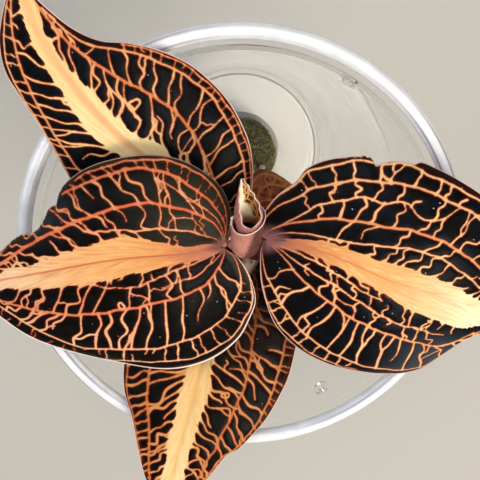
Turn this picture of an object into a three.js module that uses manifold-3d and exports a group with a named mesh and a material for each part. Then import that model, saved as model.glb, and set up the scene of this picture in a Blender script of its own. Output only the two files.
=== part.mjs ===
/**
 * Jewel orchid standing in a clear tapered cup.
 *
 * Millimetres, +Z up. The origin is the centre of the cup's flat foot. +X runs along the right leaf and -Y towards
 * the lower leaf. Heights of leaves, sheaths and stem are given from the cup's rim.
 */
import * as THREE from 'three';
import { mergeVertices } from 'three/addons/utils/BufferGeometryUtils.js';
import Module from 'manifold-3d';

const wasm = await Module();
wasm.setup();

// ---- Driving dimensions -------------------------------------------------------------------------------------------

const CUP = {
  height: 107,
  rimRadius: 47.5,
  beadRadius: 1.6,
  beadArc: [-130, 180], // degrees round the rolled rim, from its underside to its inner edge
  beadSteps: 7,
  wall: 0.8,
  seatDepth: 2.2, // from the rim's top down to the step that a lid would rest on
  wallTopRadius: 43.2, // outside, under the step
  footRadius: 28.6,
  footRing: 2.0, // width of the ring that the cup stands on
  footSlope: 1, // how far the edges of the foot's rings slope in
  footRise: 2.2, // height at which the foot runs into the tapered wall
  innerRingRadius: 15.2,
  recess: 0.9, // how far the floor between the two rings is raised
  segments: 56,
};

const VENT = {
  depth: 8, // below the rim
  holeRadius: 0.9,
  holeReach: 6, // length of the cutter
  lipRadius: 1.8,
  lipHeight: 0.5,
  lipRoot: 0.4, // how far the raised ring is let into the wall
  count: 3,
  firstAngle: -62,
  segments: 16,
};

const STEM = {
  foot: [[0, 0, 6], [-0.2, 0.1, 24], [0.4, 2, 45]],
  crown: [1, 3.8],
  upright: [66, 88, 109], // heights of the upright part, which ends just above the rim
  footRadius: 2.4,
  topRadius: 1.7,
  taperEnd: 0.62, // share of the length at which the stem is down to its top radius
  joints: { at: [0.16, 0.3, 0.45, 0.58], swell: 0.32, reach: 0.018 },
  steps: 40,
  sides: 12,
};

const PLUG = {
  profile: [[0, 1.1], [10, 1.1], [11.2, 2.9], [10.9, 10.7], [9.3, 16.2], [7.5, 17.7], [0, 18.6]],
  segments: 26,
  lump: 0.05, // share of the radius that the moss's lumps stand out
  hummock: 0.8, // unevenness of its top
};

const GAP = 0.3;
const BLADE = { thickness: 0.78, first: 0.02, last: 0.985 };
const LARGE_GRID = { alongSteps: 22, sideSteps: 6 };
const SMALL_GRID = { alongSteps: 10, sideSteps: 4 };

/**
 * Leaves. base and sheath heights are above the rim; heading is in degrees from +X. The margins, the midrib and the
 * rise are (along, across) and (along, height) pairs in the leaf's own plan, port being the left side as seen from
 * the petiole.
 */
const LEAVES = {
  leaf_left: {
    grid: LARGE_GRID,
    base: [-3.6, 4.8, 7],
    heading: 191.1,
    midrib: [[0, 0], [7.4, -1.0], [19.4, -2.9], [30, -3.1], [45, -2.0], [55.6, 0]],
    port: [[0, 0], [-2.6, 3], [-4.2, 8], [-4.2, 14.4], [-2, 19.2], [1, 23.7], [5.2, 26.3], [10.4, 27.3],
      [17.1, 26.6], [26, 22.8], [34.8, 18.2], [43.2, 12.2], [48.8, 6.2], [55.6, 0]],
    starboard: [[0, 0], [-1.4, -1.9], [-2.9, -5.8], [-2.2, -10.8], [1.3, -15.6], [5.1, -18.8], [9.9, -20.8],
      [16.4, -21.4], [23.4, -20.4], [28.6, -17.6], [29.2, -15.8], [31.3, -14.8], [33, -12.6], [35.4, -10.8],
      [38.6, -10.6], [42.8, -8.2], [49.5, -4], [55.6, 0]],
    rise: [[-5, 6.2], [0, 7], [10, 10.5], [26, 12], [40, 10], [55.6, 4]],
    dip: 0.0075,
    curl: { port: 1.4, starboard: 3 },
    wave: { height: 0.6, count: 2.5, phase: 0.6 },
    petiole: [[-1.3, 3.8, -7.5], [-3.05, 4, -3], [-3.4, 4.4, 2], [-3.6, 4.7, 5]],
    sheath: { from: -9.5, to: -4.2 },
  },
  leaf_right: {
    grid: LARGE_GRID,
    base: [5.0, 6.3, 7],
    heading: -20.4,
    midrib: [[0, 0], [4.9, 1.9], [14.1, 2.8], [25, 2.3], [38, 2.1], [50, 1.2], [59.1, 0]],
    port: [[0, 0], [-2.2, 2], [-2.1, 4.8], [-0.8, 9], [1.6, 13.1], [2.4, 15.9], [4.9, 18.8], [8.6, 21.3],
      [11.6, 22.7], [13.2, 22.7], [14.3, 21.6], [15.3, 22.3], [16.8, 23.8], [20.6, 25.1], [26, 25.1],
      [31.2, 24.5], [36.5, 23.3], [43.5, 20.2], [50, 14.6], [55, 7.5], [59.1, 0]],
    starboard: [[0, 0], [0, -2.2], [0.8, -4.8], [2.5, -8.8], [5.2, -12.9], [8.8, -17], [13.7, -20.1],
      [17.8, -21.5], [23, -21.8], [29.1, -20.8], [35.2, -20.2], [40.4, -19.4], [44.2, -17.4], [46.9, -13], [48.6, -8.6],
      [52, -4.6], [59.1, 0]],
    rise: [[-4, 6.2], [0, 7], [12, 11], [28, 12.5], [42, 10], [52, 5.5], [59.1, 0.5]],
    dip: 0.0075,
    curl: { port: 1, starboard: 1.6 },
    droop: { at: [47, -15], reach: 13, depth: 4 },
    wave: { height: 0.6, count: 3, phase: 2.4 },
    petiole: [[3.3, 4.1, -2], [4.1, 4.8, 1.8], [4.7, 5.7, 4.9]],
    sheath: { from: -3.4, to: 1.6 },
    collar: true,
  },
  leaf_upper: {
    grid: LARGE_GRID,
    base: [-2.0, 7.4, -5],
    heading: 128.2,
    midrib: [[0, 0], [12, 3.2], [25.8, 5], [32.1, 5.4], [41.5, 4.9], [49.7, 3.5], [57.8, 1.1], [61.1, 0]],
    port: [[0, 0], [0.4, 3], [1, 7], [4, 12.6], [9.5, 17], [16, 19.4], [22, 20.1], [27.8, 19.5], [33.6, 17.6],
      [39, 15.8], [45.3, 14.3], [50.5, 13], [54.8, 10], [57.3, 6.8], [59.5, 3.2], [61.1, 0]],
    starboard: [[0, 0], [-0.8, -2.2], [0.2, -5.4], [3.2, -8.5], [6.3, -10.9], [10.7, -13.3], [16.2, -14.8],
      [20.2, -15.3], [24.9, -15.1], [30.5, -14], [35.8, -11.4], [40.3, -7.9], [43.3, -4.7], [46.1, -3],
      [49.3, -1.9], [53.5, -1.2], [57.5, -0.7], [61.1, 0]],
    rise: [[-3, -6], [0, -5], [12, -0.8], [27, 3], [42, 6.2], [55, 8], [61.1, 7.6]],
    dip: 0.006,
    curl: { port: 1.2, starboard: 0.8 },
    wave: { height: 0.4, count: 3, phase: 1.1 },
    petiole: [[-0.4, 5.8, -15.5], [-1.3, 6.9, -11.5], [-1.9, 7.4, -7.2]],
    sheath: { from: -17.5, to: -12.5 },
  },
  leaf_lower: {
    grid: LARGE_GRID,
    base: [2.5, -4.2, -7],
    heading: -108.8,
    midrib: [[0, 0], [12, -2.9], [24.4, -3.8], [35, -3.1], [44, -2.5], [52.3, -1.7], [65.3, 0]],
    port: [[0, 0], [-2.2, 2.6], [-2, 7], [2, 12], [8.5, 15], [16.2, 16.4], [22.3, 16.8], [27.1, 16], [32.3, 14.7],
      [36.5, 12.9], [40.8, 10.8], [42.6, 8.9], [46.6, 7.4], [49.8, 6.3], [57.5, 3.2], [65.3, 0]],
    starboard: [[0, 0], [-2.2, -3], [-1.4, -8], [4, -13.8], [12.5, -18.4], [22, -20.6], [30.1, -20], [35.6, -18],
      [39.7, -15.1], [46.9, -11.2], [54.6, -7.2], [60.5, -3.4], [65.3, 0]],
    rise: [[-4, -8.4], [0, -7], [14, -2], [28, 2.2], [42, 5], [52, 5], [65.3, 2]],
    dip: 0.006,
    curl: { port: 0.8, starboard: 0.8 },
    wave: { height: 0.4, count: 3, phase: 4 },
    petiole: [[1.4, 1.4, -22.5], [2.1, -1, -17.5], [2.5, -3.4, -10]],
    sheath: { from: -24.5, to: -19.5 },
  },
  leaf_small: {
    grid: SMALL_GRID,
    base: [4.4, 4.2, -27],
    heading: 8,
    midrib: [[0, 0], [4, 0.3], [8, 0.3], [13.2, 0]],
    port: [[0, 0], [-1.4, 2], [-1.2, 5.2], [0.9, 7.7], [3.9, 7.4], [6.6, 5.6], [9.4, 2.9], [13.2, 0]],
    starboard: [[0, 0], [-1.2, -2], [-1, -5.2], [1.2, -7.6], [4.4, -7.4], [7.2, -5.6], [10, -2.7], [13.2, 0]],
    rise: [[-2, -27.5], [0, -27], [5, -25.6], [13.2, -26.4]],
    dip: 0.015,
    curl: { port: 0.4, starboard: 0.4 },
    wave: { height: 0.3, count: 2, phase: 0 },
    petiole: [[3.4, 3.9, -36.5], [4.1, 4, -32.5], [4.4, 4.2, -29.5]],
    sheath: { from: -38.5, to: -33.5 },
  },
};

const PETIOLE = { radius: 0.95, steps: 8, sides: 8 };

/** The midrib's ridge under the blade: reach is the share of the blade that it runs along. */
const KEEL = { reach: 0.62, radius: 0.62, tipRadius: 0.25, sink: 0.35, steps: 8, sides: 6 };

/** Sheaths that the petioles widen into, straight tubes round the stem. */
const SHEATH = { wall: 0.65, topWall: 0.53, clearance: 0.35, steps: 2, sides: 14 };

const FURLED = {
  spine: [[1, 3.8, 2.8], [1, 4.5, 4.8], [1.1, 6.3, 7.2], [1.7, 12.2, 13.2], [0.4, 21.8, 19]],
  radii: [[0, 1.4], [0.2, 1.6], [0.36, 2.35], [0.52, 2.8], [0.7, 2.35], [0.86, 1.35], [1, 0.35]],
  wrap: [[0, 340], [0.3, 330], [0.42, 262], [0.6, 214], [0.85, 190], [1, 180]],
  turn: 12, // degrees that the opening faces away from straight up, towards +X
  thickness: 0.62,
  thinBelow: 1.2, // the sheet is thinner where its radius is less than this
  coreReach: 0.24,
  coreInset: 0.3,
  coreSteps: 5,
  steps: 15,
  sides: 16,
};

/** Open mouth of the uppermost sheath, which the furled leaf grows out of. */
const COLLAR = {
  spine: [[1, 3.8, 1.2], [1, 4.5, 4.6], [0.95, 6.3, 7.2]],
  innerRadius: [[0, 2.05], [0.6, 2.15], [1, 2.3]],
  steps: 4,
};

/** Roots, each from the stem's axis outwards and down into the plug. */
const ROOTS = {
  root_1: [[-0.2, 0.1, 27], [-4.2, 2.2, 26.2], [-6.8, 3.4, 19.5], [-6.4, 3.2, 9]],
  root_2: [[-0.2, 0, 31], [4.8, -1.4, 30], [7.2, -2.2, 22], [6.4, -2, 8]],
  root_3: [[-0.2, 0.1, 23], [-2.2, -4.4, 22.4], [-3, -6.8, 17], [-2.6, -6, 7.5]],
};
const ROOT = { radius: 1.05, tipRadius: 0.7, steps: 14, sides: 9 };

// ---- Geometry helpers ---------------------------------------------------------------------------------------------

/** Value at x of a smooth curve through [x, value] pairs. */
function smoothValue(pairs, x) {
  const last = pairs.length - 1;
  if (x <= pairs[0][0]) return pairs[0][1];
  if (x >= pairs[last][0]) return pairs[last][1];
  const i = pairs.findIndex(([px], k) => k < last && x < pairs[k + 1][0]);
  const [x0, y0] = pairs[i];
  const [x1, y1] = pairs[i + 1];
  const slope = (a, b) => (b[1] - a[1]) / (b[0] - a[0]);
  const here = slope(pairs[i], pairs[i + 1]);
  const before = i > 0 ? slope(pairs[i - 1], pairs[i]) : here;
  const after = i + 2 <= last ? slope(pairs[i + 1], pairs[i + 2]) : here;
  const m0 = (before + here) / 2;
  const m1 = (here + after) / 2;
  const span = x1 - x0;
  const t = (x - x0) / span;
  return y0 * (2 * t ** 3 - 3 * t ** 2 + 1) + m0 * span * (t ** 3 - 2 * t ** 2 + t)
    + y1 * (3 * t ** 2 - 2 * t ** 3) + m1 * span * (t ** 3 - t ** 2);
}

/** Indexed geometry from a list of Vector3 and a list of index triples. */
function geometryOf(points, triangles) {
  const geometry = new THREE.BufferGeometry();
  geometry.setAttribute('position', new THREE.Float32BufferAttribute(points.flatMap((p) => [p.x, p.y, p.z]), 3));
  geometry.setIndex(triangles.flat());
  return geometry;
}

/** Closed body between two grids of points, rows by columns, alike on both faces. The top grid faces outward. */
function slab(top, bottom) {
  const rows = top.length;
  const columns = top[0].length;
  const points = [...top.flat(), ...bottom.flat()];
  const under = rows * columns;
  const at = (i, j) => i * columns + j;
  const triangles = [];
  const wall = (a, b) => triangles.push([a, under + a, b], [b, under + a, under + b]);
  for (let i = 0; i < rows - 1; i += 1) {
    for (let j = 0; j < columns - 1; j += 1) {
      const [a, b, c, d] = [at(i, j), at(i + 1, j), at(i + 1, j + 1), at(i, j + 1)];
      triangles.push([a, b, c], [a, c, d], [under + a, under + c, under + b], [under + a, under + d, under + c]);
    }
    wall(at(i, 0), at(i + 1, 0));
    wall(at(i + 1, columns - 1), at(i, columns - 1));
  }
  for (let j = 0; j < columns - 1; j += 1) {
    wall(at(0, j + 1), at(0, j));
    wall(at(rows - 1, j), at(rows - 1, j + 1));
  }
  return geometryOf(points, triangles);
}

/** Rings of points round a curve: radiusAt(t) gives each ring's radius. */
function ringsAlong(curve, steps, sides, radiusAt) {
  const frames = curve.computeFrenetFrames(steps, false);
  return Array.from({ length: steps + 1 }, (_, i) => {
    const centre = curve.getPointAt(i / steps);
    const radius = radiusAt(i / steps);
    return Array.from({ length: sides }, (__, k) => {
      const angle = (2 * Math.PI * k) / sides;
      return centre.clone()
        .addScaledVector(frames.normals[i], radius * Math.cos(angle))
        .addScaledVector(frames.binormals[i], radius * Math.sin(angle));
    });
  });
}

/** Triangles joining two closed rings that start at the indices a and b. */
function band(a, b, sides) {
  return Array.from({ length: sides }, (_, k) => {
    const n = (k + 1) % sides;
    return [[a + k, a + n, b + n], [a + k, b + n, b + k]];
  }).flat();
}

/** Solid round rod along a curve, closed by a fan at each end. */
function rod(curve, steps, sides, radiusAt) {
  const rings = ringsAlong(curve, steps, sides, radiusAt);
  const points = [...rings.flat(), curve.getPointAt(0), curve.getPointAt(1)];
  const [start, end] = [rings.length * sides, rings.length * sides + 1];
  const triangles = [];
  for (let i = 0; i < steps; i += 1) triangles.push(...band(i * sides, (i + 1) * sides, sides));
  for (let k = 0; k < sides; k += 1) {
    const n = (k + 1) % sides;
    triangles.push([start, n, k], [end, steps * sides + k, steps * sides + n]);
  }
  return geometryOf(points, triangles);
}

/** Tube with a wall along a curve, open at both ends. */
function sleeve(curve, steps, sides, outerAt, innerAt) {
  const outer = ringsAlong(curve, steps, sides, outerAt);
  const inner = ringsAlong(curve, steps, sides, innerAt);
  const loop = [...outer, ...inner.reverse()];
  const triangles = [];
  loop.forEach((_, i) => triangles.push(...band(i * sides, ((i + 1) % loop.length) * sides, sides)));
  return geometryOf(loop.flat(), triangles);
}

/** Manifold solid of a closed geometry. */
function solid(geometry) {
  const bare = geometry.clone();
  bare.deleteAttribute('normal');
  bare.deleteAttribute('uv');
  const merged = mergeVertices(bare, 1e-4);
  return new wasm.Manifold(new wasm.Mesh({
    numProp: 3,
    vertProperties: new Float32Array(merged.attributes.position.array),
    triVerts: new Uint32Array(merged.index.array),
  }));
}

/** Geometry of a Manifold solid. */
function geometryFrom(body) {
  const mesh = body.getMesh();
  const geometry = new THREE.BufferGeometry();
  geometry.setAttribute('position', new THREE.BufferAttribute(new Float32Array(mesh.vertProperties), 3));
  geometry.setIndex(new THREE.BufferAttribute(new Uint32Array(mesh.triVerts), 1));
  return geometry;
}

/** One geometry of several closed ones, joined. */
function fuse(...geometries) {
  return geometryFrom(geometries.map(solid).reduce((whole, piece) => whole.add(piece)));
}

const vector = ([x, y, z]) => new THREE.Vector3(x, y, z);

/** Smooth curve through points whose heights are above the rim. */
function curveAboveRim(points) {
  return new THREE.CatmullRomCurve3(points.map(([x, y, h]) => new THREE.Vector3(x, y, CUP.height + h)));
}

// ---- Cup ----------------------------------------------------------------------------------------------------------

/** Outer radius of the tapered wall at a height above the foot. */
function wallRadius(z) {
  const top = CUP.height - CUP.seatDepth;
  return THREE.MathUtils.lerp(CUP.footRadius, CUP.wallTopRadius, z / top);
}

function makeCup() {
  const { height, rimRadius, beadRadius, wall, seatDepth, innerRingRadius, recess, footSlope, footRise } = CUP;
  const beadCentre = rimRadius - beadRadius;
  const beadHeight = height - beadRadius;
  const seat = height - seatDepth;
  const foot = CUP.footRadius - footSlope;
  const footInside = foot - CUP.footRing;
  const insideRise = footRise + wall;
  const profile = [
    [0, 0], [innerRingRadius - footSlope, 0], [innerRingRadius, recess], [footInside - footSlope, recess],
    [footInside, 0], [foot, 0], [wallRadius(footRise), footRise], [wallRadius(seat - wall), seat - wall],
    [beadCentre - beadRadius + wall, seat - wall],
  ];
  for (let i = 0; i <= CUP.beadSteps; i += 1) {
    const angle = THREE.MathUtils.degToRad(THREE.MathUtils.lerp(...CUP.beadArc, i / CUP.beadSteps));
    profile.push([beadCentre + beadRadius * Math.cos(angle), beadHeight + beadRadius * Math.sin(angle)]);
  }
  profile.push(
    [beadCentre - beadRadius, seat], [wallRadius(seat) - wall, seat], [wallRadius(insideRise) - wall, insideRise],
    [foot - wall, wall + recess], [innerRingRadius - wall, wall + recess],
    [innerRingRadius - footSlope - wall, wall], [0, wall],
  );
  const shell = new THREE.LatheGeometry(profile.map(([x, y]) => new THREE.Vector2(x, y)), CUP.segments);
  shell.rotateX(Math.PI / 2);
  return addVents(solid(shell));
}

/** Cuts the small round vents under the rim, each in a raised ring inside the wall. */
function addVents(cup) {
  const taper = Math.atan2(CUP.wallTopRadius - CUP.footRadius, CUP.height - CUP.seatDepth);
  const z = CUP.height - VENT.depth;
  const outside = wallRadius(z);
  let body = cup;
  for (let i = 0; i < VENT.count; i += 1) {
    const angle = THREE.MathUtils.degToRad(VENT.firstAngle + (360 / VENT.count) * i);
    const place = new THREE.Matrix4().makeRotationZ(angle)
      .multiply(new THREE.Matrix4().makeTranslation(outside, 0, z))
      .multiply(new THREE.Matrix4().makeRotationY(taper))
      .multiply(new THREE.Matrix4().makeRotationZ(-Math.PI / 2));
    const lip = new THREE.CylinderGeometry(
      VENT.lipRadius, VENT.lipRadius, VENT.lipHeight + VENT.lipRoot, VENT.segments,
    );
    lip.translate(0, -CUP.wall - (VENT.lipHeight - VENT.lipRoot) / 2, 0);
    const hole = new THREE.CylinderGeometry(VENT.holeRadius, VENT.holeRadius, VENT.holeReach, VENT.segments);
    body = body.add(solid(lip.applyMatrix4(place))).subtract(solid(hole.applyMatrix4(place)));
  }
  return geometryFrom(body);
}

// ---- Stem, roots and plug -----------------------------------------------------------------------------------------

const [crownX, crownY] = STEM.crown;

const stemCurve = new THREE.CatmullRomCurve3(
  [...STEM.foot, ...STEM.upright.map((z) => [crownX, crownY, z])].map(vector),
);

/** Stem radius at a share of its length: slimmer upwards, a little swollen at its joints below the leaves. */
function stemRadius(t) {
  const { at: joints, swell, reach } = STEM.joints;
  const swelling = joints.reduce((sum, at) => sum + swell * Math.exp(-(((t - at) / reach) ** 2)), 0);
  return THREE.MathUtils.lerp(STEM.footRadius, STEM.topRadius, Math.min(1, t / STEM.taperEnd)) + swelling;
}

/** Room that the stem needs in whatever is set round it. */
const stemClearance = solid(rod(stemCurve, 24, 16, (t) => stemRadius(t) + GAP));

function makeRoot(points) {
  const curve = new THREE.CatmullRomCurve3(points.map(vector));
  const root = rod(curve, ROOT.steps, ROOT.sides, (t) => THREE.MathUtils.lerp(ROOT.radius, ROOT.tipRadius, t ** 3));
  return geometryFrom(solid(root).subtract(stemClearance));
}

/** Opens the hole that a stem or root stands in, a little wider and deeper than what it holds. */
function bore(plug, curve, steps, radiusAt) {
  const hole = solid(rod(curve, steps, ROOT.sides, (t) => radiusAt(t) + GAP));
  return plug.subtract(hole).subtract(hole.translate([0, 0, -GAP]));
}

function makePlug() {
  const body = new THREE.LatheGeometry(PLUG.profile.map(([r, z]) => new THREE.Vector2(r, z)), PLUG.segments);
  body.rotateX(Math.PI / 2);
  const position = body.attributes.position;
  const flatBelow = PLUG.profile[1][1] + 1;
  for (let i = 0; i < position.count; i += 1) {
    const [x, y, z] = [position.getX(i), position.getY(i), position.getZ(i)];
    const angle = Math.atan2(y, x);
    const lump = 1 + PLUG.lump * Math.sin(5 * angle + z * 0.6) * Math.cos(3 * angle - z * 0.9);
    const rise = z > flatBelow ? PLUG.hummock * Math.sin(x * 0.9 + 1) * Math.cos(y * 0.8) : 0;
    position.setXYZ(i, x * lump, y * lump, z + rise);
  }
  let plug = bore(solid(body), stemCurve, STEM.steps, stemRadius);
  Object.values(ROOTS).forEach((points) => {
    plug = bore(plug, new THREE.CatmullRomCurve3(points.map(vector)), ROOT.steps, () => ROOT.radius);
  });
  return geometryFrom(plug);
}

// ---- Leaves -------------------------------------------------------------------------------------------------------

/** Smooth open outline through [along, across] pairs. */
function planCurve(pairs) {
  return new THREE.CatmullRomCurve3(pairs.map(([a, b]) => new THREE.Vector3(a, b, 0)), false, 'centripetal');
}

/** Height above the rim of a blade at a place in its plan. side runs from -1 to 1 across the blade. */
function bladeHeight(leaf, along, across, share, side) {
  const { height, count, phase } = leaf.wave;
  const wave = height * side ** 4 * Math.sin(2 * Math.PI * count * share + phase + (side > 0 ? 0 : 2));
  const curl = (side > 0 ? leaf.curl.port : leaf.curl.starboard) * side ** 6 * Math.sin(Math.PI * share);
  return smoothValue(leaf.rise, along) - leaf.dip * across ** 2 - curl + wave;
}

/** How far a blade hangs down round the place where it tips over. */
function droopAt({ droop }, plan) {
  if (!droop) return 0;
  const distance = Math.hypot(plan.x - droop.at[0], plan.y - droop.at[1]);
  return droop.depth * Math.exp(-((distance / droop.reach) ** 2));
}

/** Points of a blade's upper face, rows along the leaf by columns from its starboard to its port margin. */
function bladeGrid(leaf) {
  const midrib = planCurve(leaf.midrib);
  const margins = { 1: planCurve(leaf.port), [-1]: planCurve(leaf.starboard) };
  const heading = THREE.MathUtils.degToRad(leaf.heading);
  const [baseX, baseY] = leaf.base;
  const { alongSteps, sideSteps } = leaf.grid;
  return Array.from({ length: alongSteps + 1 }, (_, i) => {
    const share = THREE.MathUtils.lerp(BLADE.first, BLADE.last, i / alongSteps);
    return Array.from({ length: 2 * sideSteps + 1 }, (__, j) => {
      const side = (j - sideSteps) / sideSteps;
      const centre = midrib.getPointAt(share);
      const edge = margins[side < 0 ? -1 : 1].getPointAt(share);
      const plan = centre.clone().lerp(edge, Math.abs(side));
      const height = bladeHeight(leaf, plan.x, plan.y - centre.y, share, side) - droopAt(leaf, plan);
      return new THREE.Vector3(
        baseX + plan.x * Math.cos(heading) - plan.y * Math.sin(heading),
        baseY + plan.x * Math.sin(heading) + plan.y * Math.cos(heading),
        CUP.height + height,
      );
    });
  });
}

/** Straight tube round the stem that a petiole widens into. */
function makeSheath({ from, to }) {
  const curve = new THREE.LineCurve3(
    new THREE.Vector3(crownX, crownY, CUP.height + from),
    new THREE.Vector3(crownX, crownY, CUP.height + to),
  );
  const inner = STEM.topRadius + SHEATH.clearance;
  const outerAt = (t) => inner + THREE.MathUtils.lerp(SHEATH.wall, SHEATH.topWall, t);
  return sleeve(curve, SHEATH.steps, SHEATH.sides, outerAt, () => inner);
}

/** Points of a blade's midrib, lowered into its underside. */
function keelPoints(grid) {
  const middle = (grid[0].length - 1) / 2;
  const count = Math.round(grid.length * KEEL.reach);
  return grid.slice(1, count).map((row) => row[middle].clone().setZ(row[middle].z - BLADE.thickness / 2 - KEEL.sink));
}

/** Ridge of the midrib on the blade's underside, fading towards the tip. */
function makeKeel(grid) {
  const curve = new THREE.CatmullRomCurve3(keelPoints(grid));
  return rod(curve, KEEL.steps, KEEL.sides, (t) => THREE.MathUtils.lerp(KEEL.radius, KEEL.tipRadius, t));
}

/** Leaning open collar of the uppermost sheath. */
function makeCollar() {
  const curve = curveAboveRim(COLLAR.spine);
  const innerAt = (t) => smoothValue(COLLAR.innerRadius, t);
  const outerAt = (t) => innerAt(t) + THREE.MathUtils.lerp(SHEATH.wall, SHEATH.topWall, t);
  return sleeve(curve, COLLAR.steps, SHEATH.sides, outerAt, innerAt);
}

function makeLeaf(leaf) {
  const top = bladeGrid(leaf);
  const bottom = top.map((row) => row.map((p) => p.clone().setZ(p.z - BLADE.thickness)));
  const petioleCurve = curveAboveRim(leaf.petiole);
  petioleCurve.points.push(keelPoints(top)[0]);
  const radiusAt = (t) => THREE.MathUtils.lerp(PETIOLE.radius, KEEL.radius, t ** 2);
  const petiole = rod(petioleCurve, PETIOLE.steps, PETIOLE.sides, radiusAt);
  const pieces = [
    solid(slab(top, bottom)),
    solid(petiole).subtract(stemClearance),
    solid(makeKeel(top)),
    solid(makeSheath(leaf.sheath)),
  ];
  if (leaf.collar) pieces.push(solid(makeCollar()));
  return geometryFrom(pieces.reduce((whole, piece) => whole.add(piece)));
}

// ---- Furled leaf --------------------------------------------------------------------------------------------------

/** One face of the rolled sheet, rows along it by columns round it, drawn in by inset. */
function furledGrid(curve, frames, inset) {
  const { steps, sides, radii, wrap, turn, thinBelow } = FURLED;
  const facing = THREE.MathUtils.degToRad(turn);
  return Array.from({ length: steps + 1 }, (_, i) => {
    const t = i / steps;
    const centre = curve.getPointAt(t);
    const tangent = frames.tangents[i];
    const across = new THREE.Vector3(1, 0, 0).addScaledVector(tangent, -tangent.x).normalize();
    const upward = new THREE.Vector3().crossVectors(across, tangent).normalize();
    const outside = smoothValue(radii, t);
    const radius = outside - inset * Math.min(1, outside / thinBelow);
    const half = THREE.MathUtils.degToRad(smoothValue(wrap, t)) / 2;
    return Array.from({ length: sides + 1 }, (__, k) => {
      const angle = facing + Math.PI + half * (1 - (2 * k) / sides);
      return centre.clone()
        .addScaledVector(upward, radius * Math.cos(angle))
        .addScaledVector(across, radius * Math.sin(angle));
    });
  });
}

function makeFurledLeaf() {
  const { steps, sides, radii, coreReach, coreInset, coreSteps } = FURLED;
  const curve = curveAboveRim(FURLED.spine);
  const frames = curve.computeFrenetFrames(steps, false);
  const sheet = slab(furledGrid(curve, frames, 0), furledGrid(curve, frames, FURLED.thickness));
  const coreCurve = new THREE.CatmullRomCurve3(
    Array.from({ length: coreSteps + 1 }, (_, i) => curve.getPointAt((coreReach * i) / coreSteps)),
  );
  const core = rod(coreCurve, coreSteps, sides, (t) => smoothValue(radii, coreReach * t) - coreInset);
  return fuse(sheet, core);
}

// ---- Assembly -----------------------------------------------------------------------------------------------------


const MATERIALS = {
  clearPlastic: { color: 0xe9f1f2, roughness: 0.12, metalness: 0, transparent: true, opacity: 0.3 },
  velvetLeaf: { color: 0x2a1a14, roughness: 0.45, metalness: 0 },
  shadedLeaf: { color: 0x5a2a18, roughness: 0.55, metalness: 0 },
  pinkLeaf: { color: 0xb97a74, roughness: 0.5, metalness: 0 },
  stem: { color: 0xb5705f, roughness: 0.45, metalness: 0 },
  root: { color: 0xb39a78, roughness: 0.8, metalness: 0 },
  moss: { color: 0x2f2b20, roughness: 0.95, metalness: 0 },
};

const group = new THREE.Group();

function add(name, geometry, finish) {
  const mesh = new THREE.Mesh(geometry, new THREE.MeshStandardMaterial(MATERIALS[finish]));
  mesh.name = name;
  group.add(mesh);
}

add('cup', makeCup(), 'clearPlastic');
add('plug', makePlug(), 'moss');
add('stem', rod(stemCurve, STEM.steps, STEM.sides, stemRadius), 'stem');
Object.entries(ROOTS).forEach(([name, points]) => add(name, makeRoot(points), 'root'));
Object.entries(LEAVES).forEach(([name, leaf]) => {
  add(name, makeLeaf(leaf), name === 'leaf_small' ? 'shadedLeaf' : 'velvetLeaf');
});
add('furled_leaf', makeFurledLeaf(), 'pinkLeaf');

export default group;
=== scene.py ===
"""Dresses the jewel orchid in its clear cup.

Plan sizes are millimetres and meshes are metres, with +Z up and the origin at the centre of the cup's foot.
Heights of leaves, petioles and sheaths are given from the cup's rim. A blade is described by share, which
runs from 0 at its base to 1 at its tip, and by side, which runs from -1 at its starboard margin over 0 at its
midrib to 1 at its port margin.
"""

from __future__ import annotations

import sys

import logging
import math
from dataclasses import dataclass, field
from enum import Enum
from functools import partial
from typing import Callable, ClassVar, Sequence

import bpy
import numpy as np
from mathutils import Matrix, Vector


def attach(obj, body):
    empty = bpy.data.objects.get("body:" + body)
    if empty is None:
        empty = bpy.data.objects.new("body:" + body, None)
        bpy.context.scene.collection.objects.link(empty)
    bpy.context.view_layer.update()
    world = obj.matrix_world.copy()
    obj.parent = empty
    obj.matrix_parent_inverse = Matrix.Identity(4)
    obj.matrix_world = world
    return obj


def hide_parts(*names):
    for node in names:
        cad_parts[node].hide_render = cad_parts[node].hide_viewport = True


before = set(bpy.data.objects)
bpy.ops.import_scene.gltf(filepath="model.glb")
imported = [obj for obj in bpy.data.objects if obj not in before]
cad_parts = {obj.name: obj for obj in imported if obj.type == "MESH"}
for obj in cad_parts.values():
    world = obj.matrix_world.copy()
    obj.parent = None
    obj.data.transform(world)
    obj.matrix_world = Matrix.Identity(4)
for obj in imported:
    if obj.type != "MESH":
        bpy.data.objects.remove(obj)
log = logging.getLogger("jewel_orchid")

MM = 0.001
RIM = 107.0
BODY = "root"

NUMBER = "NodeSocketFloat"
WHOLE_NUMBER = "NodeSocketInt"
VECTOR = "NodeSocketVector"
GEOMETRY = "NodeSocketGeometry"

Array = np.ndarray
Object = bpy.types.Object
Material = bpy.types.Material
NodeTree = bpy.types.NodeTree
Node = bpy.types.Node
Socket = bpy.types.NodeSocket
Pairs = Sequence[tuple[float, float]]
Triples = Sequence[tuple[float, float, float]]
Colour = tuple[float, float, float, float]
Radius = Callable[[Array], Array]


class Half(Enum):
    """Half of a blade, by the sign of its side."""

    PORT = 1
    STARBOARD = -1


# ---- Curves ----


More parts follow.
